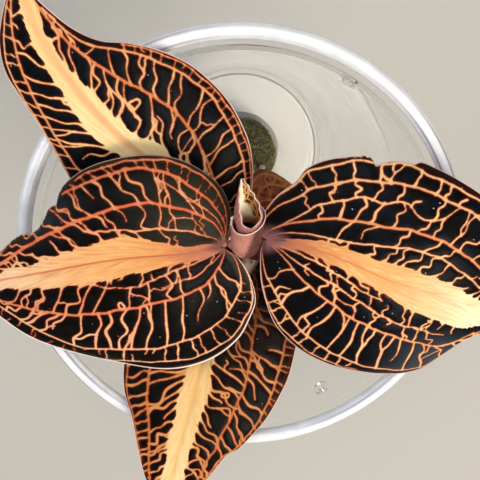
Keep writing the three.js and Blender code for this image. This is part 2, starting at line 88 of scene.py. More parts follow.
def smooth_value(pairs: Pairs, x: Array | float) -> Array:
    """Reads a smooth curve through (x, value) pairs.

    Args:
        pairs: Points of the curve, in order of x.
        x: Places to read it at. Outside the pairs the end values hold.

    Returns:
        The curve's values.
    """
    xs, ys = np.array(pairs, dtype=float).T
    slopes = np.diff(ys) / np.diff(xs)
    tangents = np.concatenate([slopes[:1], (slopes[:-1] + slopes[1:]) / 2, slopes[-1:]])
    x = np.clip(np.asarray(x, dtype=float), xs[0], xs[-1])
    i = np.clip(np.searchsorted(xs, x, side="right") - 1, 0, len(xs) - 2)
    span = xs[i + 1] - xs[i]
    t = (x - xs[i]) / span
    rise = ys[i] * (2 * t**3 - 3 * t**2 + 1) + ys[i + 1] * (3 * t**2 - 2 * t**3)
    return rise + span * (tangents[i] * (t**3 - 2 * t**2 + t) + tangents[i + 1] * (t**3 - t**2))


def smooth_step(low: float, high: float, x: Array) -> Array:
    """Rises smoothly from 0 at low to 1 at high."""
    t = np.clip((x - low) / (high - low), 0, 1)
    return t * t * (3 - 2 * t)


class Curve:
    """Centripetal Catmull-Rom curve through points, read by share of its length."""

    def __init__(self, points: Sequence[Sequence[float]], density: int = 48) -> None:
        """Samples the curve.

        Args:
            points: Places that the curve passes through, in two or three dimensions.
            density: Samples between two of them.
        """
        p = np.array(points, dtype=float)
        p = np.vstack([2 * p[0] - p[1], p, 2 * p[-1] - p[-2]])
        w = np.linspace(0, 1, density, endpoint=False)[:, None]
        rows = []
        for a, b, c, d in zip(p[:-3], p[1:-2], p[2:-1], p[3:]):
            k0, k1, k2 = (math.sqrt(np.linalg.norm(v - u)) for u, v in ((a, b), (b, c), (c, d)))
            start = ((b - a) / k0 - (c - a) / (k0 + k1) + (c - b) / k1) * k1
            end = ((c - b) / k1 - (d - b) / (k1 + k2) + (d - c) / k2) * k1
            cubic = 2 * b - 2 * c + start + end
            square = -3 * b + 3 * c - 2 * start - end
            rows.append(b + start * w + square * w**2 + cubic * w**3)
        self.points = np.vstack([*rows, p[-2:-1]])
        steps = np.linalg.norm(np.diff(self.points, axis=0), axis=1)
        self.length = float(steps.sum())
        self.shares = np.concatenate([[0], np.cumsum(steps)]) / self.length

    def at(self, share: Array | float) -> Array:
        """Reads the curve's place at shares of its length."""
        return np.stack([np.interp(share, self.shares, axis) for axis in self.points.T], axis=-1)

    def frames(self, shares: Array) -> tuple[Array, Array, Array]:
        """Gives the direction of the curve and two directions across it, turned as little as possible.

        Args:
            shares: Places along the curve, in order.

        Returns:
            Tangents, normals and binormals, one row for each share.
        """
        step = 1e-3
        tangents = self.at(np.minimum(shares + step, 1)) - self.at(np.maximum(shares - step, 0))
        tangents /= np.linalg.norm(tangents, axis=1, keepdims=True)
        seed = np.eye(3)[np.argmin(np.abs(tangents[0]))]
        normals = [seed - tangents[0] * (seed @ tangents[0])]
        for tangent in tangents[1:]:
            normals.append(normals[-1] - tangent * (normals[-1] @ tangent))
        normals = np.array([n / np.linalg.norm(n) for n in normals])
        return tangents, normals, np.cross(tangents, normals)


# ---- Meshes ----


@dataclass
class Shape:
    """Vertices in millimetres, faces by index, and values kept at each vertex."""

    points: Array
    faces: list[tuple[int, ...]] = field(default_factory=list)
    values: dict[str, Array] = field(default_factory=dict)

    def joined(self, other: Shape) -> Shape:
        """Puts another shape's faces beside these.

        Args:
            other: The other shape, of which the kept values are left out.

        Returns:
            Both in one shape.
        """
        shift = len(self.points)
        moved = [tuple(i + shift for i in face) for face in other.faces]
        return Shape(np.vstack([self.points, other.points]), self.faces + moved)

    def to_object(self, name: str, sharp_angle: float = 60.0) -> Object:
        """Makes the mesh object, in metres and shaded smooth.

        Args:
            name: Name of the object.
            sharp_angle: Edges that turn by more than this many degrees stay sharp.

        Returns:
            The new object, linked to the scene.
        """
        mesh = bpy.data.meshes.new(name)
        mesh.from_pydata((self.points * MM).tolist(), [], self.faces)
        for label, value in self.values.items():
            kind, slot = ("FLOAT", "value") if value.ndim == 1 else ("FLOAT_VECTOR", "vector")
            attribute = mesh.attributes.new(label, kind, "POINT")
            attribute.data.foreach_set(slot, value.astype(np.float32).ravel())
        mesh.polygons.foreach_set("use_smooth", np.ones(len(mesh.polygons), dtype=bool))
        mesh.set_sharp_from_angle(angle=math.radians(sharp_angle))
        thing = bpy.data.objects.new(name, mesh)
        bpy.context.collection.objects.link(thing)
        return thing


def ring_faces(a: int, b: int, sides: int) -> list[tuple[int, ...]]:
    """Faces between two closed rings of vertices that start at the indices a and b."""
    return [(a + k, a + (k + 1) % sides, b + (k + 1) % sides, b + k) for k in range(sides)]


def spokes(curve: Curve, shares: Array, sides: int) -> Array:
    """Gives directions square to a curve, evenly round it.

    Args:
        curve: The curve.
        shares: Places along it.
        sides: Directions at each place.

    Returns:
        Unit vectors, places by directions.
    """
    _, normals, binormals = curve.frames(shares)
    angles = np.arange(sides) * 2 * math.pi / sides
    cosines, sines = np.cos(angles)[None, :, None], np.sin(angles)[None, :, None]
    return cosines * normals[:, None] + sines * binormals[:, None]


def tube(curve: Curve, steps: int, sides: int, radius: Radius) -> Shape:
    """Makes a closed round rod along a curve.

    Args:
        curve: Centre line in millimetres.
        steps: Lengths along it.
        sides: Sides round it.
        radius: Radius at shares of its length.

    Returns:
        The rod, its ends closed by a point.
    """
    shares = np.linspace(0, 1, steps + 1)
    rings = curve.at(shares)[:, None] + spokes(curve, shares, sides) * radius(shares)[:, None, None]
    points = np.vstack([rings.reshape(-1, 3), curve.at(0.0), curve.at(1.0)])
    first, last = len(points) - 2, len(points) - 1
    faces = [face for i in range(steps) for face in ring_faces(i * sides, (i + 1) * sides, sides)]
    for k in range(sides):
        n = (k + 1) % sides
        faces += [(first, n, k), (last, steps * sides + k, steps * sides + n)]
    return Shape(points, faces)


def sleeve(curve: Curve, steps: int, sides: int, outer: Radius, inner: Radius) -> Shape:
    """Makes a tube with a wall along a curve, open at both ends.

    Args:
        curve: Centre line in millimetres.
        steps: Lengths along it.
        sides: Sides round it.
        outer: Outer radius at shares of its length.
        inner: Inner radius at shares of its length.

    Returns:
        The tube, its wall closed at both ends.
    """
    shares = np.linspace(0, 1, steps + 1)
    across = spokes(curve, shares, sides)
    outside = curve.at(shares)[:, None] + across * outer(shares)[:, None, None]
    inside = curve.at(shares)[:, None] + across * inner(shares)[:, None, None]
    loop = np.concatenate([outside, inside[::-1]])
    faces = [f for i in range(len(loop)) for f in ring_faces(i * sides, (i + 1) % len(loop) * sides, sides)]
    return Shape(loop.reshape(-1, 3), faces)


def lathe(profile: Pairs, segments: int) -> Shape:
    """Turns a closed (radius, height) profile round the Z axis.

    Args:
        profile: Outline, anticlockwise with the radius to the right. It closes on itself or ends on the axis.
        segments: Steps round the axis.

    Returns:
        The turned body. Points on the axis are shared by all its segments.
    """
    angles = np.arange(segments) * 2 * math.pi / segments
    points: list[tuple[float, float, float]] = []
    rows: list[list[int]] = []
    for radius, height in profile:
        at_axis = radius < 1e-6
        count = 1 if at_axis else segments
        rows.append([len(points) + (0 if at_axis else k) for k in range(segments)])
        points += [(radius * math.cos(a), radius * math.sin(a), height) for a in angles[:count]]
    on_axis = profile[0][0] < 1e-6
    pairs = list(zip(rows, rows[1:] if on_axis else rows[1:] + rows[:1]))
    faces = []
    for low, high in pairs:
        for k in range(segments):
            n = (k + 1) % segments
            faces.append(tuple(dict.fromkeys((low[k], low[n], high[n], high[k]))))
    return Shape(np.array(points), faces)


def slab(top: Array, bottom: Array, coarse: int = 1) -> Shape:
    """Closes two grids of points, alike in rows and columns, into one body.

    Args:
        top: Points of the face that looks outward, rows by columns by three.
        bottom: Points of the other face.
        coarse: How many rows and columns of the other face become one. It divides one less than their
            number.

    Returns:
        The body, with the top grid's vertices first.
    """
    bottom = bottom[::coarse, ::coarse]
    index = np.arange(top.shape[0] * top.shape[1]).reshape(top.shape[:2])
    under = np.arange(bottom.shape[0] * bottom.shape[1]).reshape(bottom.shape[:2]) + index.size
    faces: list[tuple[int, ...]] = []
    for grid, order in ((index, (0, 1, 2, 3)), (under, (0, 3, 2, 1))):
        corners = (grid[:-1, :-1], grid[1:, :-1], grid[1:, 1:], grid[:-1, 1:])
        quads = np.stack([corners[k] for k in order], axis=-1).reshape(-1, 4)
        faces += [tuple(face) for face in quads.tolist()]
    rim, low = (
        np.concatenate([grid[::-1, 0], grid[0, 1:], grid[1:, -1], grid[-1, -2::-1]]).tolist()
        for grid in (index, under)
    )
    for k in range(len(low) - 1):
        faces.append((*rim[k * coarse : (k + 1) * coarse + 1], low[k + 1], low[k]))
    return Shape(np.vstack([top.reshape(-1, 3), bottom.reshape(-1, 3)]), faces)


def on_both(grid: Array, coarse: int = 1) -> Array:
    """Lists a grid's values for the vertices of a slab: first the top's, then the bottom's."""
    return np.concatenate([part.reshape(-1, *grid.shape[2:]) for part in (grid, grid[::coarse, ::coarse])])


def dressed(thing: Object, material: Material) -> Object:
    """Gives an object its material."""
    thing.data.materials.append(material)
    return thing


def evaluated(thing: Object, name: str) -> Object:
    """Replaces an object by a plain mesh of what its modifiers make.

    Args:
        thing: Object with modifiers, which is removed.
        name: Name of the new object.

    Returns:
        The new object, with no modifier.
    """
    graph = bpy.context.evaluated_depsgraph_get()
    mesh = bpy.data.meshes.new_from_object(thing.evaluated_get(graph), depsgraph=graph)
    bpy.data.objects.remove(thing)
    mesh.name = name
    result = bpy.data.objects.new(name, mesh)
    bpy.context.collection.objects.link(result)
    return result


def grown_together(shape: Shape, name: str, grain: float, smoothing: int = 6) -> Object:
    """Melts crossing bodies into one smooth skin.

    Args:
        shape: Closed bodies that cross each other.
        name: Name of the object.
        grain: Size of the skin's faces in millimetres.
        smoothing: How often the skin is relaxed.

    Returns:
        An object with one closed mesh.
    """
    thing = shape.to_object(name + "_parts")
    remesh = thing.modifiers.new("skin", "REMESH")
    remesh.mode = "VOXEL"
    remesh.voxel_size = grain * MM
    remesh.use_smooth_shade = True
    relax = thing.modifiers.new("relax", "SMOOTH")
    relax.iterations = smoothing
    relax.factor = 0.5
    return evaluated(thing, name)


# ---- Nodes ----


def colour(code: str) -> Colour:
    """Turns a hex colour such as 'e16a3e' into linear red, green, blue and alpha."""
    parts = [int(code[i : i + 2], 16) / 255 for i in (0, 2, 4)]
    linear = [c / 12.92 if c <= 0.04045 else ((c + 0.055) / 1.055) ** 2.4 for c in parts]
    return (linear[0], linear[1], linear[2], 1.0)


class Tree:
    """Adds nodes to one node tree and links them."""

    def __init__(self, tree: NodeTree) -> None:
        """Keeps the tree to work on."""
        self.tree = tree

    def feed(self, socket: Socket, value: object) -> None:
        """Links a socket or a node to an input, or sets the input's own value.

        Args:
            socket: The input.
            value: A socket, a node, whose first output is meant, or a constant.
        """
        if isinstance(value, Node):
            value = value.outputs[0]
        if isinstance(value, Socket):
            self.tree.links.new(value, socket)
        else:
            socket.default_value = value

    def add(self, kind: str, inputs: dict[str | int, object] | None = None, **settings: object) -> Node:
        """Adds a node.

        Args:
            kind: The node's type name.
            inputs: Values or sockets for its inputs, by name or number.
            **settings: The node's own properties.

        Returns:
            The new node.
        """
        node = self.tree.nodes.new(kind)
        for key, value in settings.items():
            setattr(node, key, value)
        for key, value in (inputs or {}).items():
            self.feed(node.inputs[key], value)
        return node


class Shading(Tree):
    """Node tree of a material or of a shader group, with short names for common nodes."""

    def math(self, operation: str, *values: object) -> Socket:
        """Adds a Math node."""
        return self.add("ShaderNodeMath", dict(enumerate(values)), operation=operation).outputs[0]

    def times(self, first: object, second: object) -> Socket:
        """Multiplies two numbers."""
        return self.math("MULTIPLY", first, second)

    def centred(self, value: object, span: float) -> Socket:
        """Spreads a value between 0 and 1 evenly round zero."""
        return self.math("MULTIPLY_ADD", value, span, -span / 2)

    def vector(self, operation: str, *values: object) -> Node:
        """Adds a Vector Math node."""
        return self.add("ShaderNodeVectorMath", dict(enumerate(values)), operation=operation)

    def mix(self, share: object, first: object, second: object) -> Socket:
        """Mixes two colours."""
        return self.add("ShaderNodeMix", {0: share, 6: first, 7: second}, data_type="RGBA").outputs[2]

    def tint(self, skin: object, mask: object, code: str) -> Socket:
        """Lays a hex colour over a skin where the mask says so."""
        return self.mix(mask, skin, colour(code))

    def ease(self, value: object, low: object, high: object, start: float = 0, end: float = 1) -> Socket:
        """Goes smoothly from start, where value is low, to end, where it is high."""
        inputs = {"Value": value, "From Min": low, "From Max": high, "To Min": start, "To Max": end}
        return self.add("ShaderNodeMapRange", inputs, interpolation_type="SMOOTHSTEP").outputs[0]

    def noise(self, vector: object, scale: object, detail: float = 2, rough: float = 0.5) -> Socket:
        """Adds a noise texture and gives its value."""
        inputs = {"Vector": vector, "Scale": scale, "Detail": detail, "Roughness": rough}
        return self.add("ShaderNodeTexNoise", inputs).outputs[0]

    def stretch(self, vector: object, scale: object) -> Socket:
        """Scales a vector by an amount along each axis."""
        return self.vector("MULTIPLY", vector, scale).outputs[0]

    def level_reach(self, vector: object) -> Socket:
        """Measures how far a place lies from the third axis."""
        return self.vector("LENGTH", self.stretch(vector, (1, 1, 0))).outputs["Value"]

    def parts(self, vector: object) -> Sequence[Socket]:
        """Splits a vector."""
        return self.add("ShaderNodeSeparateXYZ", {0: vector}).outputs[:3]

    def value(self, name: str) -> Socket:
        """Reads a value kept at the mesh's vertices."""
        return self.add("ShaderNodeAttribute", attribute_name=name).outputs["Fac"]

    def place(self, name: str) -> Socket:
        """Reads a vector kept at the mesh's vertices."""
        return self.add("ShaderNodeAttribute", attribute_name=name).outputs["Vector"]

    def millimetres(self) -> Socket:
        """Gives Object coordinates in millimetres."""
        spot = self.add("ShaderNodeTexCoord").outputs["Object"]
        return self.stretch(spot, (1 / MM, 1 / MM, 1 / MM))


class Group(Shading):
    """Shader group that reads a Place in millimetres."""

    def __init__(self, name: str, sizes: dict[str, float], outputs: dict[str, str]) -> None:
        """Starts the group.

        Args:
            name: Name of the group.
            sizes: Default value of each number that it takes.
            outputs: Socket type of each output.
        """
        super().__init__(bpy.data.node_groups.new(name, "ShaderNodeTree"))
        self.tree.interface.new_socket("Place", in_out="INPUT", socket_type=VECTOR)
        for label, value in sizes.items():
            self.tree.interface.new_socket(label, in_out="INPUT", socket_type=NUMBER).default_value = value
        for label, kind in outputs.items():
            self.tree.interface.new_socket(label, in_out="OUTPUT", socket_type=kind)
        self.given = self.tree.nodes.new("NodeGroupInput").outputs
        self.end = self.tree.nodes.new("NodeGroupOutput")

    def give(self, **results: object) -> NodeTree:
        """Feeds the group's outputs and gives its tree."""
        for label, value in results.items():
            self.feed(self.end.inputs[label], value)
        return self.tree

    def masked(self, value: object) -> Socket:
        """Rises from 0 to 1 where a value goes from Low to High."""
        return self.ease(value, self.given["Low"], self.given["High"])


class Effects:
    """Shader groups that several finishes share."""

    def __init__(self) -> None:
        """Builds each group once."""
        self.streaks = self._streaks()
        self.mottle = self._mottle()
        self.glints = self._glints()
        self.feather = self._feather()

    @staticmethod
    def _streaks() -> NodeTree:
        """Draws fine lines that run along the first axis of Place.

        Returns:
            The group, whose Mask rises from 0 to 1 between Low and High.
        """
        s = Group("streaks", {"Along": 0.2, "Across": 2.0, "Low": 0.35, "High": 0.65}, {"Mask": NUMBER})
        ends = [s.given["Along"], s.given["Across"], s.given["Across"]]
        scale = s.add("ShaderNodeCombineXYZ", dict(enumerate(ends)))
        return s.give(Mask=s.masked(s.noise(s.stretch(s.given["Place"], scale), 1.0, 4, 0.6)))

    @staticmethod
    def _mottle() -> NodeTree:
        """Draws soft blotches, Scale of them to a millimetre, whose Mask is 1 from High up."""
        s = Group("mottle", {"Scale": 0.5, "Low": 0.35, "High": 0.65}, {"Mask": NUMBER})
        return s.give(Mask=s.masked(s.noise(s.given["Place"], s.given["Scale"], 4, 0.6)))

    @staticmethod
    def _glints() -> NodeTree:
        """Draws sparse bright specks, which the leaves use as painted glints.

        Returns:
            The group. Its Height is the fine bumps of a velvet skin.
        """
        s = Group("glints", {"Scale": 4.0, "Rarity": 0.9}, {"Mask": NUMBER, "Height": NUMBER})
        skin = s.add("ShaderNodeTexVoronoi", {"Vector": s.given["Place"], "Scale": s.given["Scale"]})
        lucky = s.add("ShaderNodeSeparateColor", {0: skin.outputs["Color"]}).outputs[0]
        chosen = s.math("GREATER_THAN", lucky, s.given["Rarity"])
        dot = s.ease(skin.outputs["Distance"], 0.42, 0.12)
        return s.give(Mask=s.times(chosen, dot), Height=skin.outputs["Distance"])

    @staticmethod
    def _feather() -> NodeTree:
        """Turns a leaf's Place so that its first axis runs out from the midrib, by Slope.

        Returns:
            The group.
        """
        s = Group("feather", {"Slope": 0.3}, {"Place": VECTOR})
        along, across, seed = s.parts(s.given["Place"])
        square = s.math("SUBTRACT", s.math("ABSOLUTE", across), s.times(along, s.given["Slope"]))
        apart = s.math("MULTIPLY_ADD", s.math("SIGN", across), 5.0, seed)
        return s.give(Place=s.add("ShaderNodeCombineXYZ", {0: along, 1: square, 2: apart}))


class Look(Shading):
    """Node tree of one material, with its Principled shader and the groups that it may use."""

    def __init__(self, name: str, effects: Effects | None = None, **constants: object) -> None:
        """Starts the material.

        Args:
            name: Name of the material.
            effects: Shared shader groups.
            **constants: Values of the shader's inputs, named with underscores for spaces.
        """
        self.material = bpy.data.materials.new(name)
        self.material.use_nodes = True
        super().__init__(self.material.node_tree)
        self.effects = effects
        self.shader = self.tree.nodes["Principled BSDF"]
        for label, value in constants.items():
            self.shader.inputs[label.replace("_", " ")].default_value = value

    def show(self, **inputs: object) -> None:
        """Feeds the shader's inputs, named with underscores for spaces."""
        for label, value in inputs.items():
            self.feed(self.shader.inputs[label.replace("_", " ")], value)

    def bump(self, strength: float, depth: float, height: object) -> None:
        """Raises the skin by a height, which is a share of the depth in millimetres."""
        inputs = {"Strength": strength, "Distance": depth * MM, "Height": height}
        self.show(Normal=self.add("ShaderNodeBump", inputs))

    def group(self, tree: NodeTree, place: object, **sizes: float) -> Sequence[Socket]:
        """Adds a shared group with its own sizes and gives its outputs."""
        node = self.add("ShaderNodeGroup", node_tree=tree)
        for label, value in {"Place": place, **sizes}.items():
            self.feed(node.inputs[label], value)
        return node.outputs

    def mottled(self, place: object, scale: float) -> Socket:
        """Gives soft blotches."""
        return self.group(self.effects.mottle, place, Scale=scale)[0]

    def streaked(self, place: object, along: float, across: float, low: float, high: float) -> Socket:
        """Gives fine streaks, more of them across than along."""
        return self.group(self.effects.streaks, place, Along=along, Across=across, Low=low, High=high)[0]

    def feathered(self, place: object, slope: float) -> Socket:
        """Turns a leaf's place outwards."""
        return self.group(self.effects.feather, place, Slope=slope)[0]


# ---- Finishes ----


class Finish:
    """Material with one Principled shader. Its constants are the inputs that hold one value."""

    constants: ClassVar[dict[str, object]] = {}

    def build(self, name: str, effects: Effects) -> Material:
        """Makes the material.

        Args:
            name: Name of the material.
            effects: Shared shader groups.

        Returns:
            The dressed material.
        """
        look = Look(name, effects, **self.constants)
        self.dress(look)
        return look.material

    def dress(self, s: Look) -> None:
        """Feeds the shader inputs that vary, in the material's tree s."""


@dataclass(frozen=True)
class NettedVelvet(Finish):
    """Dark velvet skin with a raised bright net, a bright stripe along the midrib and a pink underside."""

    constants = {"Specular_IOR_Level": 0.04}

    stripe_base: str = "cc7a44"
    stripe_middle: str = "e0985a"
    stripe_tip: str = "ecc49c"
    stripe_streak: str = "c0622c"
    stripe_light: str = "f2b878"
    midline: str = "a8482a"
    main_vein: str = "c45634"
    fine_vein: str = "dcaa7a"
    cell: str = "0a0604"
    # Painted sheens and glints on the dark cells: mottled, near the base, towards the tip, and in specks.
    cell_sheen: str = "0f0e0d"
    base_sheen: str = "0d0b0a"
    far_sheen: str = "0f0e0d"
    glint: str = "cfcbd0"
    halo: str = "5c1a06"
    base_flush: str = "70473f"
    flush_reach: float = 5.0
    base_tint: str = "b06e58"
    midline_reach: float = 0.34
    margin: str = "e8c0b6"
    margin_reach: tuple[float, float] = (0.26, 0.26)
    margin_strength: tuple[float, float] = (0.9, 0.9)
    margin_start: float = 1.0
    midline_end: float = 1.2
    # Painted shade towards the base, where leaves above shade the blade: the share that it reaches and its
    # colour.
    painted_shade: float = 0.001
    painted_shade_tone: str = "1c0a05"
    rim_band: str = "2a120c"
    rim_reach: float = 1.1
    underside: str = "a8767a"
    under_blotch: str = "8c5a64"
    under_vein: str = "7e4048"

    def dress(self, s: Look) -> None:
        """Draws the netted top and the pink underside.

        Args:
            s: The material's tree.
        """
        flow = s.place("flow")
        vein = s.math("ADD", s.value("vein"), s.centred(s.noise(flow, 1.5, 3), 0.2))
        web = s.math("MINIMUM", vein, self._broken_band(s, flow))
        line = s.ease(web, -0.07, 0.09, 1, 0)
        blotch = s.mottled(flow, 0.45)
        painted_glints, bumps = s.group(s.effects.glints, flow, Scale=2.6, Rarity=0.996)[:2]
        # Painted sheen: the cells' blotches take the cell_sheen colour.
        cell = self._cells(s, s.mix(blotch, colour(self.cell), colour(self.cell_sheen)), painted_glints)
        cell = s.tint(cell, s.ease(web, 0.0, 0.34, 1.0, 0), self.halo)
        skin = s.mix(line, cell, self._bright(s, flow, vein))
        top = self._near_base_and_margin(s, flow, skin)
        back = s.mix(s.times(line, 0.6), colour(self.underside), colour(self.under_vein))
        back = s.tint(back, s.times(blotch, 0.3), self.under_blotch)
        s.show(Base_Color=s.mix(s.value("under"), top, back), Roughness=s.ease(line, 0.0, 1.0, 0.34, 0.5))
        s.bump(0.3, 0.12, s.math("ADD", s.times(bumps, 0.5), s.noise(flow, 5.0, 2)))

    def _cells(self, s: Look, cell: Socket, painted_glints: Socket) -> Socket:
        """Lays painted sheens, painted glints and the dull margin over the cells.

        Args:
            s: The material's tree.
            cell: Colour of the plain cells.
            painted_glints: Mask of the painted glints.

        Returns:
            The cells' colour.
        """
        across, share, edge = s.parts(s.place("flow"))[1], s.value("share"), s.value("edge")
        # Painted sheen near the base on the starboard half and in the base lobes.
        pale = s.times(s.ease(share, 0.05, 0.45, 1, 0), s.ease(across, -8, 1, 1, 0))
        lobe = s.times(s.ease(share, 0.03, 0.2, 1, 0), s.ease(edge, 2.4, 4.6, 0.9, 0))
        cell = s.tint(cell, s.math("MAXIMUM", pale, lobe), self.base_sheen)
        # Painted reflection towards the tip, near the starboard margin.
        far = s.times(s.ease(share, 0.48, 0.72), s.ease(across, -14, -5, 0.85, 0))
        cell = s.tint(cell, far, self.far_sheen)
        # Painted glints: bright specks on the cells.
        cell = s.tint(cell, s.times(painted_glints, 0.8), self.glint)
        return s.tint(cell, s.ease(edge, self.rim_reach * 0.6, self.rim_reach, 0.85, 0), self.rim_band)

    def _bright(self, s: Look, flow: Socket, vein: Socket) -> Socket:
        """Colours the net and the stripe.

        Args:
            s: The material's tree.
            flow: Place on the leaf.
            vein: Distance to the nearest vein.

        Returns:
            The bright lines' colour.
        """
        bright = s.mix(s.value("warmth"), colour(self.main_vein), colour(self.fine_vein))
        bright = s.tint(bright, s.times(s.mottled(flow, 0.8), 0.2), self.main_vein)
        bright = s.tint(bright, s.ease(vein, -0.14, 0.04, 0, 0.5), self.main_vein)
        bright = s.mix(s.ease(s.value("band"), -0.1, 1.1, 1, 0), bright, self._stripe(s, flow))
        return s.tint(bright, s.ease(s.level_reach(flow), 4, 14, 0.75, 0), self.base_tint)

    def _near_base_and_margin(self, s: Look, flow: Socket, skin: Socket) -> Socket:
        """Lays painted shade near the base, flushes the skin there and lays on the pale margin.

        Args:
            s: The material's tree.
            flow: Place on the leaf.
            skin: Colour of the cells and the net.

        Returns:
            The top's colour.
        """
        share, across = s.value("share"), s.parts(flow)[1]
        near, flush = s.level_reach(flow), self.flush_reach
        # Painted shade: darkens the skin towards the blade's base.
        skin = s.tint(skin, s.ease(share, self.painted_shade * 0.5, self.painted_shade, 0.74, 0), self.painted_shade_tone)
        skin = s.tint(skin, s.ease(near, flush * 0.3, flush, 0.92, 0), self.base_flush)
        reach = s.ease(across, -0.5, 0.5, self.margin_reach[1], self.margin_reach[0])
        strength = s.ease(across, -0.5, 0.5, self.margin_strength[1], self.margin_strength[0])
        reach = s.times(reach, s.ease(share, 0.1, 0.4, self.margin_start, 1))
        rim = s.times(strength, s.ease(s.value("edge"), s.times(reach, 0.5), reach, 1, 0))
        return s.tint(skin, rim, self.margin)

    def _broken_band(self, s: Look, flow: Socket) -> Socket:
        """Gives the distance to the stripe, with dark flecks that cut into its edges and run outwards.

        Args:
            s: The material's tree.
            flow: Place on the leaf.

        Returns:
            The distance in millimetres.
        """
        turned = s.feathered(flow, 0.3)
        coarse = s.noise(s.stretch(turned, (0.2, 1.1, 1)), 1.0, 1.5, 0.5)
        ragged = s.math("ADD", s.value("band"), s.centred(coarse, 1.7))
        fine = s.noise(s.stretch(turned, (0.5, 3.0, 1)), 1.0, 1, 0.5)
        return s.math("ADD", ragged, s.centred(fine, 0.5))

    def _stripe(self, s: Look, flow: Socket) -> Socket:
        """Colours the stripe, with fine streaks that run outwards and a thin line on the midrib.

        Args:
            s: The material's tree.
            flow: Place on the leaf.

        Returns:
            The stripe's colour.
        """
        share = s.value("share")
        body = s.mix(s.ease(share, 0.05, 0.4), colour(self.stripe_base), colour(self.stripe_middle))
        body = s.tint(body, s.ease(share, 0.4, 0.95), self.stripe_tip)
        turned = s.feathered(flow, 0.16)
        body = s.tint(body, s.times(s.streaked(turned, 0.3, 1.4, 0.46, 0.72), 0.45), self.stripe_light)
        body = s.tint(body, s.times(s.streaked(turned, 0.16, 2.2, 0.42, 0.74), 0.5), self.stripe_streak)
        line = s.ease(s.math("ABSOLUTE", s.parts(flow)[1]), 0.06, self.midline_reach, 0.7, 0)
        line = s.times(line, s.ease(share, self.midline_end * 0.5, self.midline_end, 1, 0.2))
        return s.tint(body, line, self.midline)


@dataclass(frozen=True)
class ShadedLeaf(Finish):
    """Mottled brown-red skin with dull veins, of the small low leaf."""

    constants = {"Roughness": 0.5, "Specular_IOR_Level": 0.3}

    skin: str = "94502e"
    dark: str = "54230f"
    vein: str = "ac7236"
    underside: str = "8c5a52"

    def dress(self, s: Look) -> None:
        """Draws the blotched top with its veins, and the underside.

        Args:
            s: The material's tree.
        """
        flow = s.place("flow")
        blotch = s.mottled(flow, 0.7)
        line = s.ease(s.value("vein"), -0.1, 0.25, 1, 0)
        top = s.tint(s.mix(blotch, colour(self.dark), colour(self.skin)), line, self.vein)
        skin = s.tint(top, s.value("under"), self.underside)
        s.show(Base_Color=skin, Roughness=s.ease(blotch, 0, 1, 0.42, 0.6))
        s.bump(0.3, 0.1, s.noise(flow, 4.0, 2))


@dataclass(frozen=True)
class PinkTissue(Finish):
    """Smooth, faintly see-through plant tissue of petioles, sheaths and stem."""

    constants = {
        "Specular_IOR_Level": 0.5,
        "Coat_Weight": 0.15,
        "Subsurface_Weight": 0.2,
        "Subsurface_Scale": 1.2 * MM,
        "Subsurface_Radius": (1.0, 0.35, 0.25),
    }

    body: str = "d08778"
    deep: str = "93463f"
    pale: str = "e4b29c"
    lip: str = "f0cfc4"
    brown: str = "a88a62"
    mouth: tuple[float, float, float] = (-0.544, 0.718, 0.694)
    mouth_reach: float = 91.8
    # Painted shadow: its colour, the direction across which it falls, where it starts and how soft its edge
    # is.
    painted_shade: str = "421a15"
    shadow: tuple[float, float, float] = (1.0, 0.0, -0.225)
    shadow_from: float = -25.7
    shadow_blur: float = 1.3
    fade_from: float = 90.0
    fade_to: float = 60.0

    def dress(self, s: Look) -> None:
        """Draws upright fibres, browner down the stem, a painted shadow on one side from 100 mm up, and the
        sheath's pale lip.

        Args:
            s: The material's tree.
        """
        spot = s.millimetres()
        fibre = s.ease(s.noise(s.stretch(spot, (2.6, 2.6, 0.3)), 1.0, 4, 0.6), 0.38, 0.68)
        skin = s.mix(s.times(fibre, 0.55), colour(self.body), colour(self.deep))
        skin = s.tint(skin, s.times(s.mottled(spot, 0.35), 0.35), self.pale)
        height = s.parts(spot)[2]
        skin = s.tint(skin, s.times(s.ease(height, self.fade_from, self.fade_to), 0.6), self.brown)
        # Painted shadow on the side towards +X, from 100 mm up, where the sheath lies in shade.
        aside = s.vector("DOT_PRODUCT", spot, self.shadow).outputs["Value"]
        painted_shadow_mask = s.ease(aside, self.shadow_from, self.shadow_from + self.shadow_blur, 0, 0.85)
        skin = s.tint(skin, s.times(painted_shadow_mask, s.ease(height, 100, 104)), self.painted_shade)
        reach = s.vector("DOT_PRODUCT", spot, self.mouth).outputs["Value"]
        skin = s.tint(skin, s.ease(reach, self.mouth_reach - 0.36, self.mouth_reach - 0.2, 0, 0.9), self.lip)
        s.show(Base_Color=skin, Roughness=s.ease(fibre, 0, 1, 0.34, 0.5))
        s.bump(0.25, 0.1, fibre)


